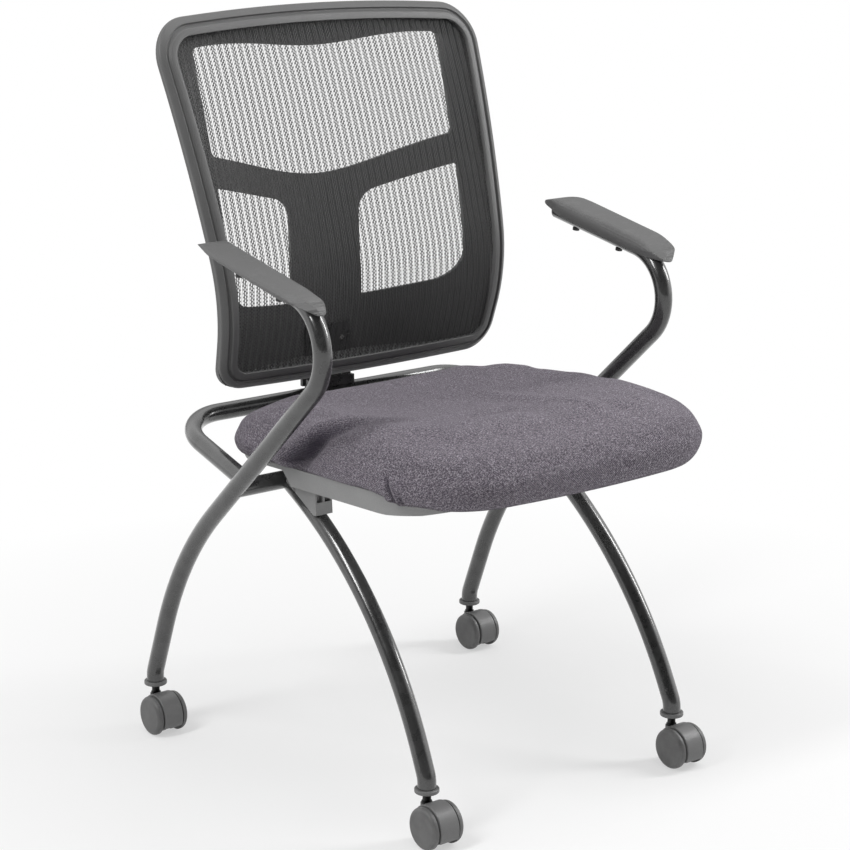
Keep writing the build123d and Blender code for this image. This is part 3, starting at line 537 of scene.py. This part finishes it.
def make_mesh_cloth():
    finish, tree, shader, place = new_finish("mesh_fabric", specular=0.3)
    split = node(tree, "ShaderNodeSeparateXYZ", {"Vector": place})
    x, z = split.outputs["X"], split.outputs["Z"]
    sway = sums(tree, "MULTIPLY", noise(tree, place, 30.0, 1.0), 0.0012)
    swayed = sums(tree, "ADD", sums(tree, "ADD", x, SLOT_SHIFT), sway)
    pitch = sums(tree, "FRACT", sums(tree, "DIVIDE", swayed, MESH_PITCH))
    from_slot = sums(tree, "ABSOLUTE", sums(tree, "SUBTRACT", pitch, 0.5))
    slot = sums(tree, "LESS_THAN", from_slot, SLOT_SHARE / 2)
    band = sums(tree, "DIVIDE",
                sums(tree, "SUBTRACT", from_slot, SLOT_SHARE / 2), 0.5 - SLOT_SHARE / 2)
    column = sums(tree, "MULTIPLY", band, COLUMNS)
    in_column = sums(tree, "FRACT", column)
    shift = sums(tree, "MULTIPLY", sums(tree, "FLOOR", column), 0.5)
    row = sums(tree, "ADD", sums(tree, "DIVIDE", z, LEAF_LENGTH), shift)
    swell = sums(tree, "ABSOLUTE", sums(tree, "SINE", sums(tree, "MULTIPLY", row, pi)))
    from_leaf = sums(tree, "ABSOLUTE", sums(tree, "SUBTRACT", in_column, 0.5))
    leaf = sums(tree, "LESS_THAN", from_leaf, sums(tree, "MULTIPLY", swell, LEAF_HALF))
    open_share = sums(tree, "MAXIMUM", slot, leaf)
    tree.links.new(sums(tree, "SUBTRACT", 1.0, open_share), shader.inputs["Alpha"])
    yarn = noise(tree, place, 900.0, 2.0)
    tree.links.new(two_colours(tree, yarn, MESH_DARK, MESH_LIGHT), shader.inputs["Base Color"])
    shader.inputs["Roughness"].default_value = 0.62
    shader.inputs["Sheen Weight"].default_value = 0.12
    height = sums(tree, "ADD", sums(tree, "MULTIPLY", from_leaf, 1.2), yarn)
    relief(tree, shader, height, MESH_RELIEF)
    return finish


mesh_cloth = make_mesh_cloth()
print(mesh_cloth.name, len(mesh_cloth.node_tree.nodes), "nodes")

# %% [markdown]
# ## Finishes on the solids that stay
# The bent tubes, the shell behind the mesh, the seat pan, the hinge blocks and
# the caster bodies are right as solids, and only take a finish.

# %% Dress the solids
FINISH_OF = {
    "crossbar": tube_paint, "seat_rail": tube_paint, "arm_leg_tube": tube_paint,
    "front_leg": tube_paint, "back_bracket": tube_paint, "arm_screws": dark_screw,
    "back_bolts": bright_steel, "pivot_screws": bright_steel, "caster_stem": black_steel,
    "caster_axle": bright_steel, "back_frame": back_plastic, "support_shell": shell_plastic,
    "arm_pad": pad_plastic, "arm_plug": pad_plastic, "seat_pan": pan_plastic,
    "pivot_clamp": pan_plastic, "pivot_cap": pan_plastic, "rest_block": pan_plastic,
    "caster_socket": caster_plastic, "caster_hood": caster_plastic,
    "caster_wheel": wheel_nylon, "back_mesh": mesh_cloth, "seat_cushion": seat_cloth,
    "seat_board": plywood,
}


def give_finish(piece, finish):
    piece.data.materials.clear()
    piece.data.materials.append(finish)


for name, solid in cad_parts.items():
    kind = max((k for k in FINISH_OF if name.startswith(k)), key=len)
    give_finish(solid, FINISH_OF[kind])
print("finished solids:", len(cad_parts))

# %% [markdown]
# ## The back's curve
# Seen from the side, the back is straight at the bottom, bulges forward at the
# waist in a 205 mm arc, and leans back above it in a slow arc of 1.75 m. The
# frame and the mesh both follow this line, so it is worked out once.

# %% Back curve
WAIST_Y, WAIST_Z, LUMBAR_R, UPPER_R = 0.1465, 0.570, 0.205, 1.750
LOWER_LEAN, UPPER_LEAN = radians(-16), radians(15)
BACK_TOP, BACK_BOTTOM, BACK_CROWN = 0.900, 0.456, 0.012
TOP_HALF, BOTTOM_HALF = 0.247, 0.2115
RIM_DEPTH = 0.012


def back_y(z):
    low_z = WAIST_Z + LUMBAR_R * sin(LOWER_LEAN)
    high_z = WAIST_Z + LUMBAR_R * sin(UPPER_LEAN)
    if z <= low_z:
        return WAIST_Y + LUMBAR_R * (1 - cos(LOWER_LEAN)) + (low_z - z) * tan(-LOWER_LEAN)
    if z <= high_z:
        return WAIST_Y + LUMBAR_R - (LUMBAR_R ** 2 - (z - WAIST_Z) ** 2) ** 0.5
    lean = asin(sin(UPPER_LEAN) + (z - high_z) / UPPER_R)
    return WAIST_Y + LUMBAR_R * (1 - cos(UPPER_LEAN)) + UPPER_R * (cos(UPPER_LEAN) - cos(lean))


def half_width(z):
    return BOTTOM_HALF + (z - BACK_BOTTOM) / (BACK_TOP - BACK_BOTTOM) * (TOP_HALF - BOTTOM_HALF)


print("back y at bottom, waist, top:",
      [round(back_y(z), 4) for z in (BACK_BOTTOM, WAIST_Z, BACK_TOP)])

# %% [markdown]
# ## The back frame
# The real frame is one moulded ring whose face falls away towards its outer
# edge. It starts as a plane cut to the outline: its corners are rounded by a
# vertex bevel, its long sides divided so that they can bend, and the face inset
# six times to make a ring. The face falls away steeply in the outer 8 mm, then
# a narrow groove runs all round, and inside it the face is nearly flat. The
# ring is laid along the back's curve and extruded back to an even depth. A
# bevel softens its edges, as a mould does.

# %% Back frame outline
TOP_CORNER, BOTTOM_CORNER = 0.0500, 0.0350
MIDDLE_Z = (BACK_TOP + BACK_BOTTOM) / 2
LONG_EDGE = 0.1

bpy.ops.mesh.primitive_plane_add(size=1.0, location=(0, 0, 0))
back_ring = start_mesh("back_frame_front")
shape = bmesh.from_edit_mesh(back_ring.data)
for corner in shape.verts:
    top = corner.co.y > 0
    side = 1 if corner.co.x > 0 else -1
    corner.co = Vector((side * (TOP_HALF if top else BOTTOM_HALF), 0.0,
                        BACK_TOP if top else BACK_BOTTOM))
bmesh.update_edit_mesh(back_ring.data)
pick_parts(back_ring, "verts", lambda p, v: p.z > MIDDLE_Z)
bpy.ops.mesh.bevel(offset=TOP_CORNER, segments=14, affect="VERTICES")
pick_parts(back_ring, "verts", lambda p, v: p.z < MIDDLE_Z)
bpy.ops.mesh.bevel(offset=BOTTOM_CORNER, segments=10, affect="VERTICES")
long_edges = pick_parts(back_ring, "edges", lambda p, e: e.calc_length() > LONG_EDGE)
bpy.ops.mesh.subdivide(number_cuts=23)
print("long sides divided:", long_edges)

# %% Back frame ring
CROWN_FROM, CROWN_BLEND = 0.84, 0.06
BOTTOM_SAG, SAG_BELOW = 0.004, 0.50
# the insets from the outer edge, and the face's fall at the edge and after each
STEPS = (0.0025, 0.0050, 0.0013, 0.0027, 0.0013, 0.0087)
FALLS = (0.0075, 0.0060, 0.0022, 0.0054, 0.0050, 0.0014, 0.0010)

shape = bmesh.from_edit_mesh(back_ring.data)
for v in shape.verts:
    share = abs(v.co.x) / half_width(v.co.z)
    if v.co.z > CROWN_FROM:
        rise = min(1.0, (v.co.z - CROWN_FROM) / CROWN_BLEND)
        v.co.z += BACK_CROWN * max(0.0, 1 - share ** 2) * rise
    elif v.co.z < SAG_BELOW:
        v.co.z -= BOTTOM_SAG * max(0.0, 1 - share ** 2)
bmesh.update_edit_mesh(back_ring.data)
outline = [v.co.copy() for v in shape.verts]
bpy.ops.mesh.select_mode(type="FACE")
bpy.ops.mesh.select_all(action="SELECT")
for step in STEPS:
    bpy.ops.mesh.inset(thickness=step, depth=0.0, use_boundary=True, use_even_offset=True)
bpy.ops.mesh.delete(type="FACE")
print("outline points:", len(outline))

# %% Back frame body
EDGE_ROUND = 0.0017
LINES = [(sum(STEPS[:i]), fall) for i, fall in enumerate(FALLS)]

shape = bmesh.from_edit_mesh(back_ring.data)
border = [e for e in shape.edges if e.is_boundary]
outer_loop = [e for e in border if min((e.verts[0].co - p).length for p in outline) < 1e-5]
segments = [(e.verts[0].co.copy(), e.verts[1].co.copy()) for e in outer_loop]


def edge_distance(point):
    """How far in from the outer edge a point of the ring is."""
    best = 1.0
    for a, b in segments:
        line = b - a
        t = max(0.0, min(1.0, (point - a).dot(line) / line.length_squared))
        best = min(best, (point - a - line * t).length)
    return best


def face_fall(gap):
    """How far the ring's face lies behind the back's line, at that way in from its edge."""
    for (near, here), (far, there) in zip(LINES, LINES[1:]):
        if gap < far:
            return here + (gap - near) / (far - near) * (there - here)
    return FALLS[-1]


falls = [face_fall(edge_distance(v.co)) for v in shape.verts]
for v, fall in zip(shape.verts, falls):
    v.co.y = back_y(v.co.z) + fall
bmesh.update_edit_mesh(back_ring.data)
bpy.ops.mesh.select_all(action="SELECT")
bpy.ops.mesh.normals_make_consistent(inside=False)
bpy.ops.mesh.extrude_region_move(TRANSFORM_OT_translate={"value": (0, 0.001, 0)})
shape = bmesh.from_edit_mesh(back_ring.data)
for v in shape.verts:
    if v.select:
        v.co.y = back_y(v.co.z) + RIM_DEPTH
bmesh.update_edit_mesh(back_ring.data)
bpy.ops.mesh.select_all(action="SELECT")
bpy.ops.mesh.normals_make_consistent(inside=False)
bpy.ops.object.mode_set(mode="OBJECT")
soften = back_ring.modifiers.new("soften", "BEVEL")
soften.width, soften.segments = EDGE_ROUND, 3
soften.limit_method, soften.angle_limit = "ANGLE", radians(38)
apply_all(back_ring)
finish_mesh(back_ring, 40)
give_finish(back_ring, back_plastic)
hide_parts("back_frame")
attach(back_ring, "frame")
print("back frame box:", [round(v, 3) for v in (*back_ring.bound_box[0], *back_ring.bound_box[6])])

# %% [markdown]
# ## The mesh
# The knit is held all round in the frame and stretched tight, so it is a sheet
# with no sag. A grid is laid over the frame's opening with its edge tucked a few
# millimetres under the rim, and follows the back's curve. It is cut a little
# wider at the top than at the bottom, like the frame.

# %% Mesh sheet
UNDER_RIM = 0.0165               # from the frame's outer edge to the sheet's
CORNER_R = 0.034
SHEET_BEHIND = 0.0057            # behind the back's line
ROW_EASE = 0.08                  # rows stand closer near the top and bottom


def mesh_half(z, top, bottom):
    """Half the sheet's width at height z, less in its rounded corners."""
    half = half_width(z) - UNDER_RIM
    for gap in (top - z, z - bottom):
        if gap < CORNER_R:
            half -= CORNER_R - max(0.0, CORNER_R ** 2 - (CORNER_R - gap) ** 2) ** 0.5
    return half


bpy.ops.mesh.primitive_grid_add(x_subdivisions=40, y_subdivisions=72, size=2.0)
mesh_sheet = start_mesh("back_mesh_cloth")
bpy.ops.object.mode_set(mode="OBJECT")
sheet_top, sheet_bottom = BACK_TOP - UNDER_RIM, BACK_BOTTOM + UNDER_RIM


def on_back(co):
    level = 0.5 * (co.y + 1)
    turn = pi * (ROW_EASE + (1 - 2 * ROW_EASE) * level)
    level = 0.5 - 0.5 * cos(turn) / cos(pi * ROW_EASE)
    z = sheet_bottom + level * (sheet_top - sheet_bottom)
    x = co.x * mesh_half(z, sheet_top, sheet_bottom)
    z += BACK_CROWN * level ** 8 * (1 - (x / TOP_HALF) ** 2)
    return Vector((x, back_y(z) + SHEET_BEHIND, z))


move_points(mesh_sheet, on_back)
finish_mesh(mesh_sheet, 60)
give_finish(mesh_sheet, mesh_cloth)
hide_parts("back_mesh")
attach(mesh_sheet, "frame")

# %% [markdown]
# ## The cushion
# The seat is a block of foam on a board, with cloth pulled down over it and
# stapled underneath. Real cushions are crowned, full at the front edge, and
# hollow where one sits. The solid has the outline, so a copy of it is remeshed
# into even squares and blown up a little as cloth under pressure, held where the
# board holds it. The sitter's hollow, the fold and the tucks at the front
# corners are then pressed in by moving points, as sculpting would.


# %% Cushion block
WELD = 0.00002                   # points of a solid closer than this are one
CUSHION_VOXEL = 0.0060


def even_copy(solid_name, name, voxel):
    """A copy of a solid, welded and remeshed into even squares."""
    piece = bpy.data.objects.new(name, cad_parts[solid_name].data.copy())
    bpy.context.scene.collection.objects.link(piece)
    pick(piece)
    bpy.ops.object.mode_set(mode="EDIT")
    bpy.ops.mesh.select_all(action="SELECT")
    bpy.ops.mesh.remove_doubles(threshold=WELD)
    bpy.ops.object.mode_set(mode="OBJECT")
    piece.data.remesh_voxel_size = voxel
    bpy.ops.object.voxel_remesh()
    return piece


cushion = even_copy("seat_cushion", "seat_cushion_cover", CUSHION_VOXEL)
print("cushion after remesh:", len(cushion.data.vertices), "points")

# %% Cushion under pressure
TILT = radians(3.8)
HINGE_Y, HINGE_Z = 0.071, 0.365
GRIP_FULL, GRIP_BLEND = 0.036, 0.016             # heights over the hinge
PUFF_FRAMES, CAP = 20, 0.005


def seat_level(co):
    """Place along the seat, and height over the hinge, square to it."""
    y, z = co.y - HINGE_Y, co.z - HINGE_Z
    return y * cos(TILT) - z * sin(TILT), y * sin(TILT) + z * cos(TILT)


rest = [v.co.copy() for v in cushion.data.vertices]
held = cushion.vertex_groups.new(name="held")
for v in cushion.data.vertices:
    level = seat_level(v.co)[1]
    grip = min(1.0, max(0.0, 1 - (level - GRIP_FULL) / GRIP_BLEND))
    if grip > 0:
        held.add([v.index], grip, "REPLACE")
blow = cushion.modifiers.new("blow", "CLOTH")
blow.settings.quality = 5
blow.settings.mass = 0.3
blow.settings.use_pressure = True
blow.settings.uniform_pressure_force = 4.0
blow.settings.effector_weights.gravity = 0.0
blow.settings.tension_stiffness = 18
blow.settings.compression_stiffness = 18
blow.settings.shear_stiffness = 8
blow.settings.bending_stiffness = 0.6
blow.settings.vertex_group_mass = "held"
blow.collision_settings.use_collision = False
for number in range(PUFF_FRAMES):
    bpy.context.scene.frame_set(number + 1)
pick(cushion)
bpy.ops.object.modifier_apply(modifier="blow")
bpy.context.scene.frame_set(1)
moved = 0.0
for v, start in zip(cushion.data.vertices, rest):
    step = v.co - start
    if step.length > CAP:
        v.co = start + step.normalized() * CAP
    moved = max(moved, (v.co - start).length)
cushion.vertex_groups.clear()
print("cushion swelled by up to", round(moved * 1000, 1), "mm")

# %% Cushion smoothed
even = cushion.modifiers.new("even", "SMOOTH")
even.factor, even.iterations = 0.5, 6
divide = cushion.modifiers.new("divide", "SUBSURF")
divide.levels = divide.render_levels = 1
apply_all(cushion)
print("cushion:", len(cushion.data.polygons), "faces")

# %% [markdown]
# The cloth is one flat piece pulled down over the foam. Its flat coordinates
# are the place seen from above, pushed outwards by how far down the side a
# point is, so the weave runs on over the edge as it would in one piece. Below
# its widest level the side draws in again, and the cloth there lies further out
# by twice what the side draws in.

# %% Flat cloth coordinates
TOP_LEVEL = 0.088                # of the cushion, over the hinge
OUTWARD_GAIN = 1.15              # a normal this much short of level counts as level
UNITS = 10                       # of the cloth's coordinates, in a metre
# height over the hinge, and how far the side is drawn in there
SIDE_INSET = ((0.005, 0.027), (0.0105, 0.017), (0.019, 0.009), (0.030, 0.003), (0.042, 0.0))


def drawn_in(level):
    """How far the side is drawn in at that height over the hinge."""
    if level <= SIDE_INSET[0][0]:
        return SIDE_INSET[0][1]
    for (low, inset), (high, next_inset) in zip(SIDE_INSET, SIDE_INSET[1:]):
        if level < high:
            return inset + (level - low) / (high - low) * (next_inset - inset)
    return 0.0


cloth = cushion.data.uv_layers.new(name="flat_cloth")
flat_place = []
for v in cushion.data.vertices:
    along, level = seat_level(v.co)
    outward = Vector((v.normal.x, v.normal.y))
    share = min(1.0, OUTWARD_GAIN * outward.length)
    step = share * (max(0.0, TOP_LEVEL - level) + 2 * drawn_in(level))
    outward = outward.normalized() if outward.length > 1e-6 else outward
    flat_place.append((UNITS * (v.co.x + outward.x * step), UNITS * (along + outward.y * step)))
for loop in cushion.data.loops:
    cloth.data[loop.index].uv = flat_place[loop.vertex_index]
span = max(p[0] for p in flat_place) - min(p[0] for p in flat_place)
print("cloth spans", round(span / UNITS, 3), "m across")

# %% [markdown]
# The form follows lines drawn on the cushion. A fold climbs the side wall
# slantwise, from low behind the thighs to the top edge, and fades as it crosses
# the top: behind it the foam stands proud, in front of it the cloth is pinched
# in, and the step between them lies in shadow, which is also painted into the
# cloth's colour as painted shade. A place on the side is given by its way up the
# wall and on over the edge, together with its y. On top, a low ridge runs forward
# beside the middle and a hollow lies next to it, as a used seat has, and the
# hollow gets painted shade too. The fold is deep on the sitter's right and slight
# on the left. Each point of a line has two places in metres and a height or depth
# in millimetres.

# %% Seat lines
SEAT_HALF = 0.226
FOLD = [(0.028, 0.016, 8.0), (0.042, 0.008, 10.0), (0.060, -0.014, 10.0), (0.079, -0.029, 9.0),
        (0.098, -0.036, 7.5), (0.116, -0.054, 5.5), (0.130, -0.065, 3.8), (0.153, -0.091, 2.0),
        (0.190, -0.120, 0.6)]
RIDGE = [(0.080, 0.020, 0.0), (0.055, -0.012, 4.2), (0.047, -0.070, 6.0), (0.050, -0.139, 5.6),
         (0.061, -0.199, 3.4), (0.070, -0.250, 0.0)]
HOLLOW = [(-0.150, -0.150, 0.6), (-0.096, -0.143, 3.2), (-0.050, -0.130, 5.0),
          (-0.010, -0.130, 5.0), (-0.003, -0.166, 3.4), (0.003, -0.225, 0.6)]


def near_line(x, y, line):
    """(signed distance, value) of the nearest point of a line of (x, y, value)."""
    best = (9.0, 0.0)
    for (ax, ay, av), (bx, by, bv) in zip(line, line[1:]):
        dx, dy = bx - ax, by - ay
        t = max(0.0, min(1.0, ((x - ax) * dx + (y - ay) * dy) / (dx * dx + dy * dy)))
        px, py = x - ax - t * dx, y - ay - t * dy
        side = 1.0 if dx * py - dy * px > 0 else -1.0
        if hypot(px, py) < abs(best[0]):
            best = (side * hypot(px, py), av + t * (bv - av))
    return best


def bell(distance, width):
    return exp(-(distance / width) ** 2)


print("seat lines:", len(FOLD), len(RIDGE), len(HOLLOW), "points")

# %% Press the seat
PRESS_FROM, PRESS_BLEND = 0.026, 0.012           # heights over the hinge
SLIGHT = 0.30                    # how much of the fold the sitter's left side has
FOLD_WIDTH, RIDGE_WIDTH, HOLLOW_WIDTH = 0.014, 0.014, 0.020
PROUD, PROUD_AT = 0.65, 0.014    # behind the fold, as a share of its depth, and how far away
PINCH, PINCH_AT = 1.25, 0.012    # in front of it
# painted shade where the cloth is pinched in front of the fold, and in the hollow
SHADE_WIDTH, SHADE_AT, SHADE_DEPTH = 0.013, 0.004, 9.0           # of the pinched cloth
HOLLOW_SHADE, HOLLOW_SHADE_WIDTH = 0.045, 0.018
# the sitter's hollow, and the fuller sides before it
SIT_Y, SIT_WIDE, SIT_LONG, SIT_DEPTH = 0.02, 0.15, 0.085, 3.0
FULL_X, FULL_Y, FULL_WIDE, FULL_LONG, FULLNESS = 0.205, -0.085, 0.035, 0.085, 3.0

normals = [v.normal.copy() for v in cushion.data.vertices]
# the painted shade of the fold, the hollow and the tucks, kept in an attribute of the mesh
painted_shade = cushion.data.attributes.new(name="painted_shade", type="FLOAT", domain="POINT")
deepest = 0.0
for v, out in zip(cushion.data.vertices, normals):
    along, level = seat_level(v.co)
    if level < PRESS_FROM:
        continue
    hold = min(1.0, (level - PRESS_FROM) / PRESS_BLEND)
    x, y = v.co.x, v.co.y
    way = level + max(0.0, SEAT_HALF - abs(x))
    gap, depth = near_line(way, y, FOLD)
    share = 1.0 if x < 0 else SLIGHT
    push = depth * share * (PROUD * bell(gap - PROUD_AT, FOLD_WIDTH)
                            - PINCH * bell(gap + PINCH_AT, FOLD_WIDTH))
    # painted shade: the pinched cloth in front of the fold is marked darker
    shade = share * hold * min(1.0, depth / SHADE_DEPTH) * bell(gap + SHADE_AT, SHADE_WIDTH)
    top = max(0.0, out.z)
    gap, rise = near_line(x, y, RIDGE)
    push += rise * top * bell(gap, RIDGE_WIDTH)
    gap, depth = near_line(x, y, HOLLOW)
    push -= depth * top * bell(gap, HOLLOW_WIDTH)
    shade += HOLLOW_SHADE * depth * top * bell(gap, HOLLOW_SHADE_WIDTH)
    painted_shade.data[v.index].value = shade
    push -= SIT_DEPTH * top * bell(hypot(x / SIT_WIDE, (y - SIT_Y) / SIT_LONG), 1.0)
    push += FULLNESS * bell(abs(x) - FULL_X, FULL_WIDE) * bell(y - FULL_Y, FULL_LONG)
    v.co += out * (push * hold * 0.001)
    deepest = min(deepest, push)
cushion.data.update()
print("deepest press:", round(deepest, 1), "mm")

# %% Corner tucks
TUCKS = [((0.228, -0.185, 0.437), (0.221, -0.192, 0.403), 5.5),
         ((0.223, -0.203, 0.415), (0.216, -0.202, 0.396), 4.5),
         ((0.228, -0.166, 0.412), (0.226, -0.172, 0.400), 2.0)]
NEAR_X, NEAR_Y, NEAR_Z = 0.15, -0.12, 0.45       # the tucks lie beyond, before and below these
START_SHARE = 0.25               # of a tuck's depth, at its upper end
# painted shade in the tucks: the width of the darkened line, and further down the depth at which a
# tuck is painted fully dark
TUCK_WIDTH, TUCK_SHADE_WIDTH = 0.0032, 0.0022
LIP, LIP_AT, LIP_WIDTH = 0.40, 0.008, 0.0045     # the cloth stands up beside a tuck
TUCK_SHADE_DEPTH = 3.0               # a tuck this deep is fully dark

normals = [v.normal.copy() for v in cushion.data.vertices]
painted_shade = cushion.data.attributes["painted_shade"]
for v, out in zip(cushion.data.vertices, normals):
    here = Vector((abs(v.co.x), v.co.y, v.co.z))
    if here.x < NEAR_X or here.y > NEAR_Y or here.z > NEAR_Z:
        continue
    square = Vector((out.x if v.co.x > 0 else -out.x, out.y, out.z))
    tuck_shade = 0.0
    for a, b, depth in TUCKS:
        a, b = Vector(a), Vector(b)
        t = max(0.0, min(1.0, (here - a).dot(b - a) / (b - a).length_squared))
        away = here - a - (b - a) * t
        gap = (away - square * away.dot(square)).length
        deep = depth * (START_SHARE + (1 - START_SHARE) * t)
        press = deep * (bell(gap, TUCK_WIDTH) - LIP * bell(gap - LIP_AT, LIP_WIDTH))
        v.co -= out * (0.001 * press)
        # painted shade: a deep tuck's slit is darkened in the cloth's colour
        tuck_shade = max(tuck_shade, deep / TUCK_SHADE_DEPTH * bell(gap, TUCK_SHADE_WIDTH))
    shade = painted_shade.data[v.index]
    shade.value = max(shade.value, min(1.0, tuck_shade))
cushion.data.update()
finish_mesh(cushion, 180)
give_finish(cushion, seat_cloth)
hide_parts("seat_cushion")
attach(cushion, "seat")

# %% [markdown]
# ## The arm pads
# The pads are moulded in hard plastic with no sharp edge anywhere, where the
# solids have crisp ones. A copy of each solid is remeshed finely and smoothed,
# which rounds every edge by about 3 mm and keeps the channel over the tube. The
# front end is then drawn out by moving points: its plan becomes an ellipse
# 66 mm long whose tip lies over the tube, and the top rolls down to a thin lip.
# The rear end curls down less than in the solid, and its corners are rounded.


# %% Arm pads
def round_over(solid_name, name, voxel, rounds, finish, body):
    piece = even_copy(solid_name, name, voxel)
    even = piece.modifiers.new("even", "SMOOTH")
    even.factor, even.iterations = 0.5, rounds
    apply_all(piece)
    finish_mesh(piece, 180)
    give_finish(piece, finish)
    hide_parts(solid_name)
    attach(piece, body)
    return piece


PAD_VOXEL, PAD_ROUNDS = 0.0013, 22               # size of its squares, and smoothing rounds
PAD_Y, PAD_Z = 0.038, 0.6515     # a point of the flat top
PAD_SLOPE = radians(10.8)        # of the top, up towards the rear
PAD_MIDDLE = 0.271               # x of the pad's middle line
PAD_TIP, PAD_REAR = -0.161, 0.078                # its two ends, along the top from that point
NOSE, WAS_NOSE = 0.066, 0.046    # length of the rounded front end, here and in the solid
# how much of its thickness the tip loses, and how far it drops and goes in
TIP_THIN, TIP_DROP, TIP_INWARD = 0.62, 0.011, 0.009
REAR_CURL, REAR_THIN = 0.046, 0.42               # length of the rear's curl, and what it loses
REAR_ROUND, REAR_SPARE = 0.018, 0.004            # length of its round corners, and what stays flat


def nose_shape(length, way):
    """Half width of an elliptical nose of that length, as a share of the full one."""
    return (1 - (1 - min(1.0, way / length)) ** 2) ** 0.5


def shape_ends(co):
    """Draws the pad's front end to a longer, thinner nose and rounds its rear end."""
    back, up = co.y - PAD_Y, co.z - PAD_Z
    along = back * cos(PAD_SLOPE) + up * sin(PAD_SLOPE)
    over = up * cos(PAD_SLOPE) - back * sin(PAD_SLOPE)
    way = max(0.0006, along - PAD_TIP)
    near_tip = max(0.0, 1 - way / NOSE)
    near_rear = max(0.0, 1 - (PAD_REAR - along) / REAR_CURL)
    narrow = nose_shape(NOSE, way) / nose_shape(WAS_NOSE, way)
    narrow *= nose_shape(REAR_ROUND, max(0.0012, PAD_REAR - along + REAR_SPARE))
    over *= (1 - TIP_THIN * near_tip ** 1.5) * (1 - REAR_THIN * near_rear)
    over -= TIP_DROP * near_tip ** 2.2
    side = 1 if co.x > 0 else -1
    middle = side * PAD_MIDDLE
    return Vector((middle + (co.x - middle) * narrow - side * TIP_INWARD * near_tip ** 1.6,
                   PAD_Y + along * cos(PAD_SLOPE) - over * sin(PAD_SLOPE),
                   PAD_Z + along * sin(PAD_SLOPE) + over * cos(PAD_SLOPE)))


for word in ("left", "right"):
    pad = round_over(f"arm_pad_{word}", f"arm_pad_top_{word}", PAD_VOXEL, PAD_ROUNDS,
                     pad_plastic, "frame")
    move_points(pad, shape_ends)

# %% [markdown]
# ## Floor
# The floor only has to be pale and catch the soft shadow. A share of it is
# drawn plain white for the camera and for reflections, so that it meets the
# white surroundings without an edge, and the rest takes the shadow.

# %% Floor
FLOOR_SIZE, FLOOR_Z = 60.0, -0.0004
PAPER = 0.86
# the white share near the chair and far from it, and the distances between which it grows
WHITE_NEAR, WHITE_FAR, NEAR, FAR = 0.50, 1.0, 0.42, 1.1

bpy.ops.mesh.primitive_plane_add(size=FLOOR_SIZE, location=(0, 0, FLOOR_Z))
floor = bpy.context.active_object
floor.name = "studio_floor"
paper, tree = empty_material("studio_paper")
dull = node(tree, "ShaderNodeBsdfDiffuse", {"Color": grey(PAPER)})
white = node(tree, "ShaderNodeEmission", {"Color": grey(1.0), "Strength": 1.0})
ray = node(tree, "ShaderNodeLightPath").outputs
seen = sums(tree, "MAXIMUM", ray["Is Camera Ray"], ray["Is Glossy Ray"])
place = node(tree, "ShaderNodeTexCoord").outputs["Object"]
away = node(tree, "ShaderNodeVectorMath", {0: place}, operation="LENGTH").outputs["Value"]
share = sums(tree, "MULTIPLY", seen, between(tree, away, NEAR, FAR, WHITE_NEAR, WHITE_FAR))
node(tree, "ShaderNodeOutputMaterial",
     {"Surface": two_shaders(tree, share, dull.outputs[0], white.outputs[0])})
give_finish(floor, paper)
print("floor:", floor.name)
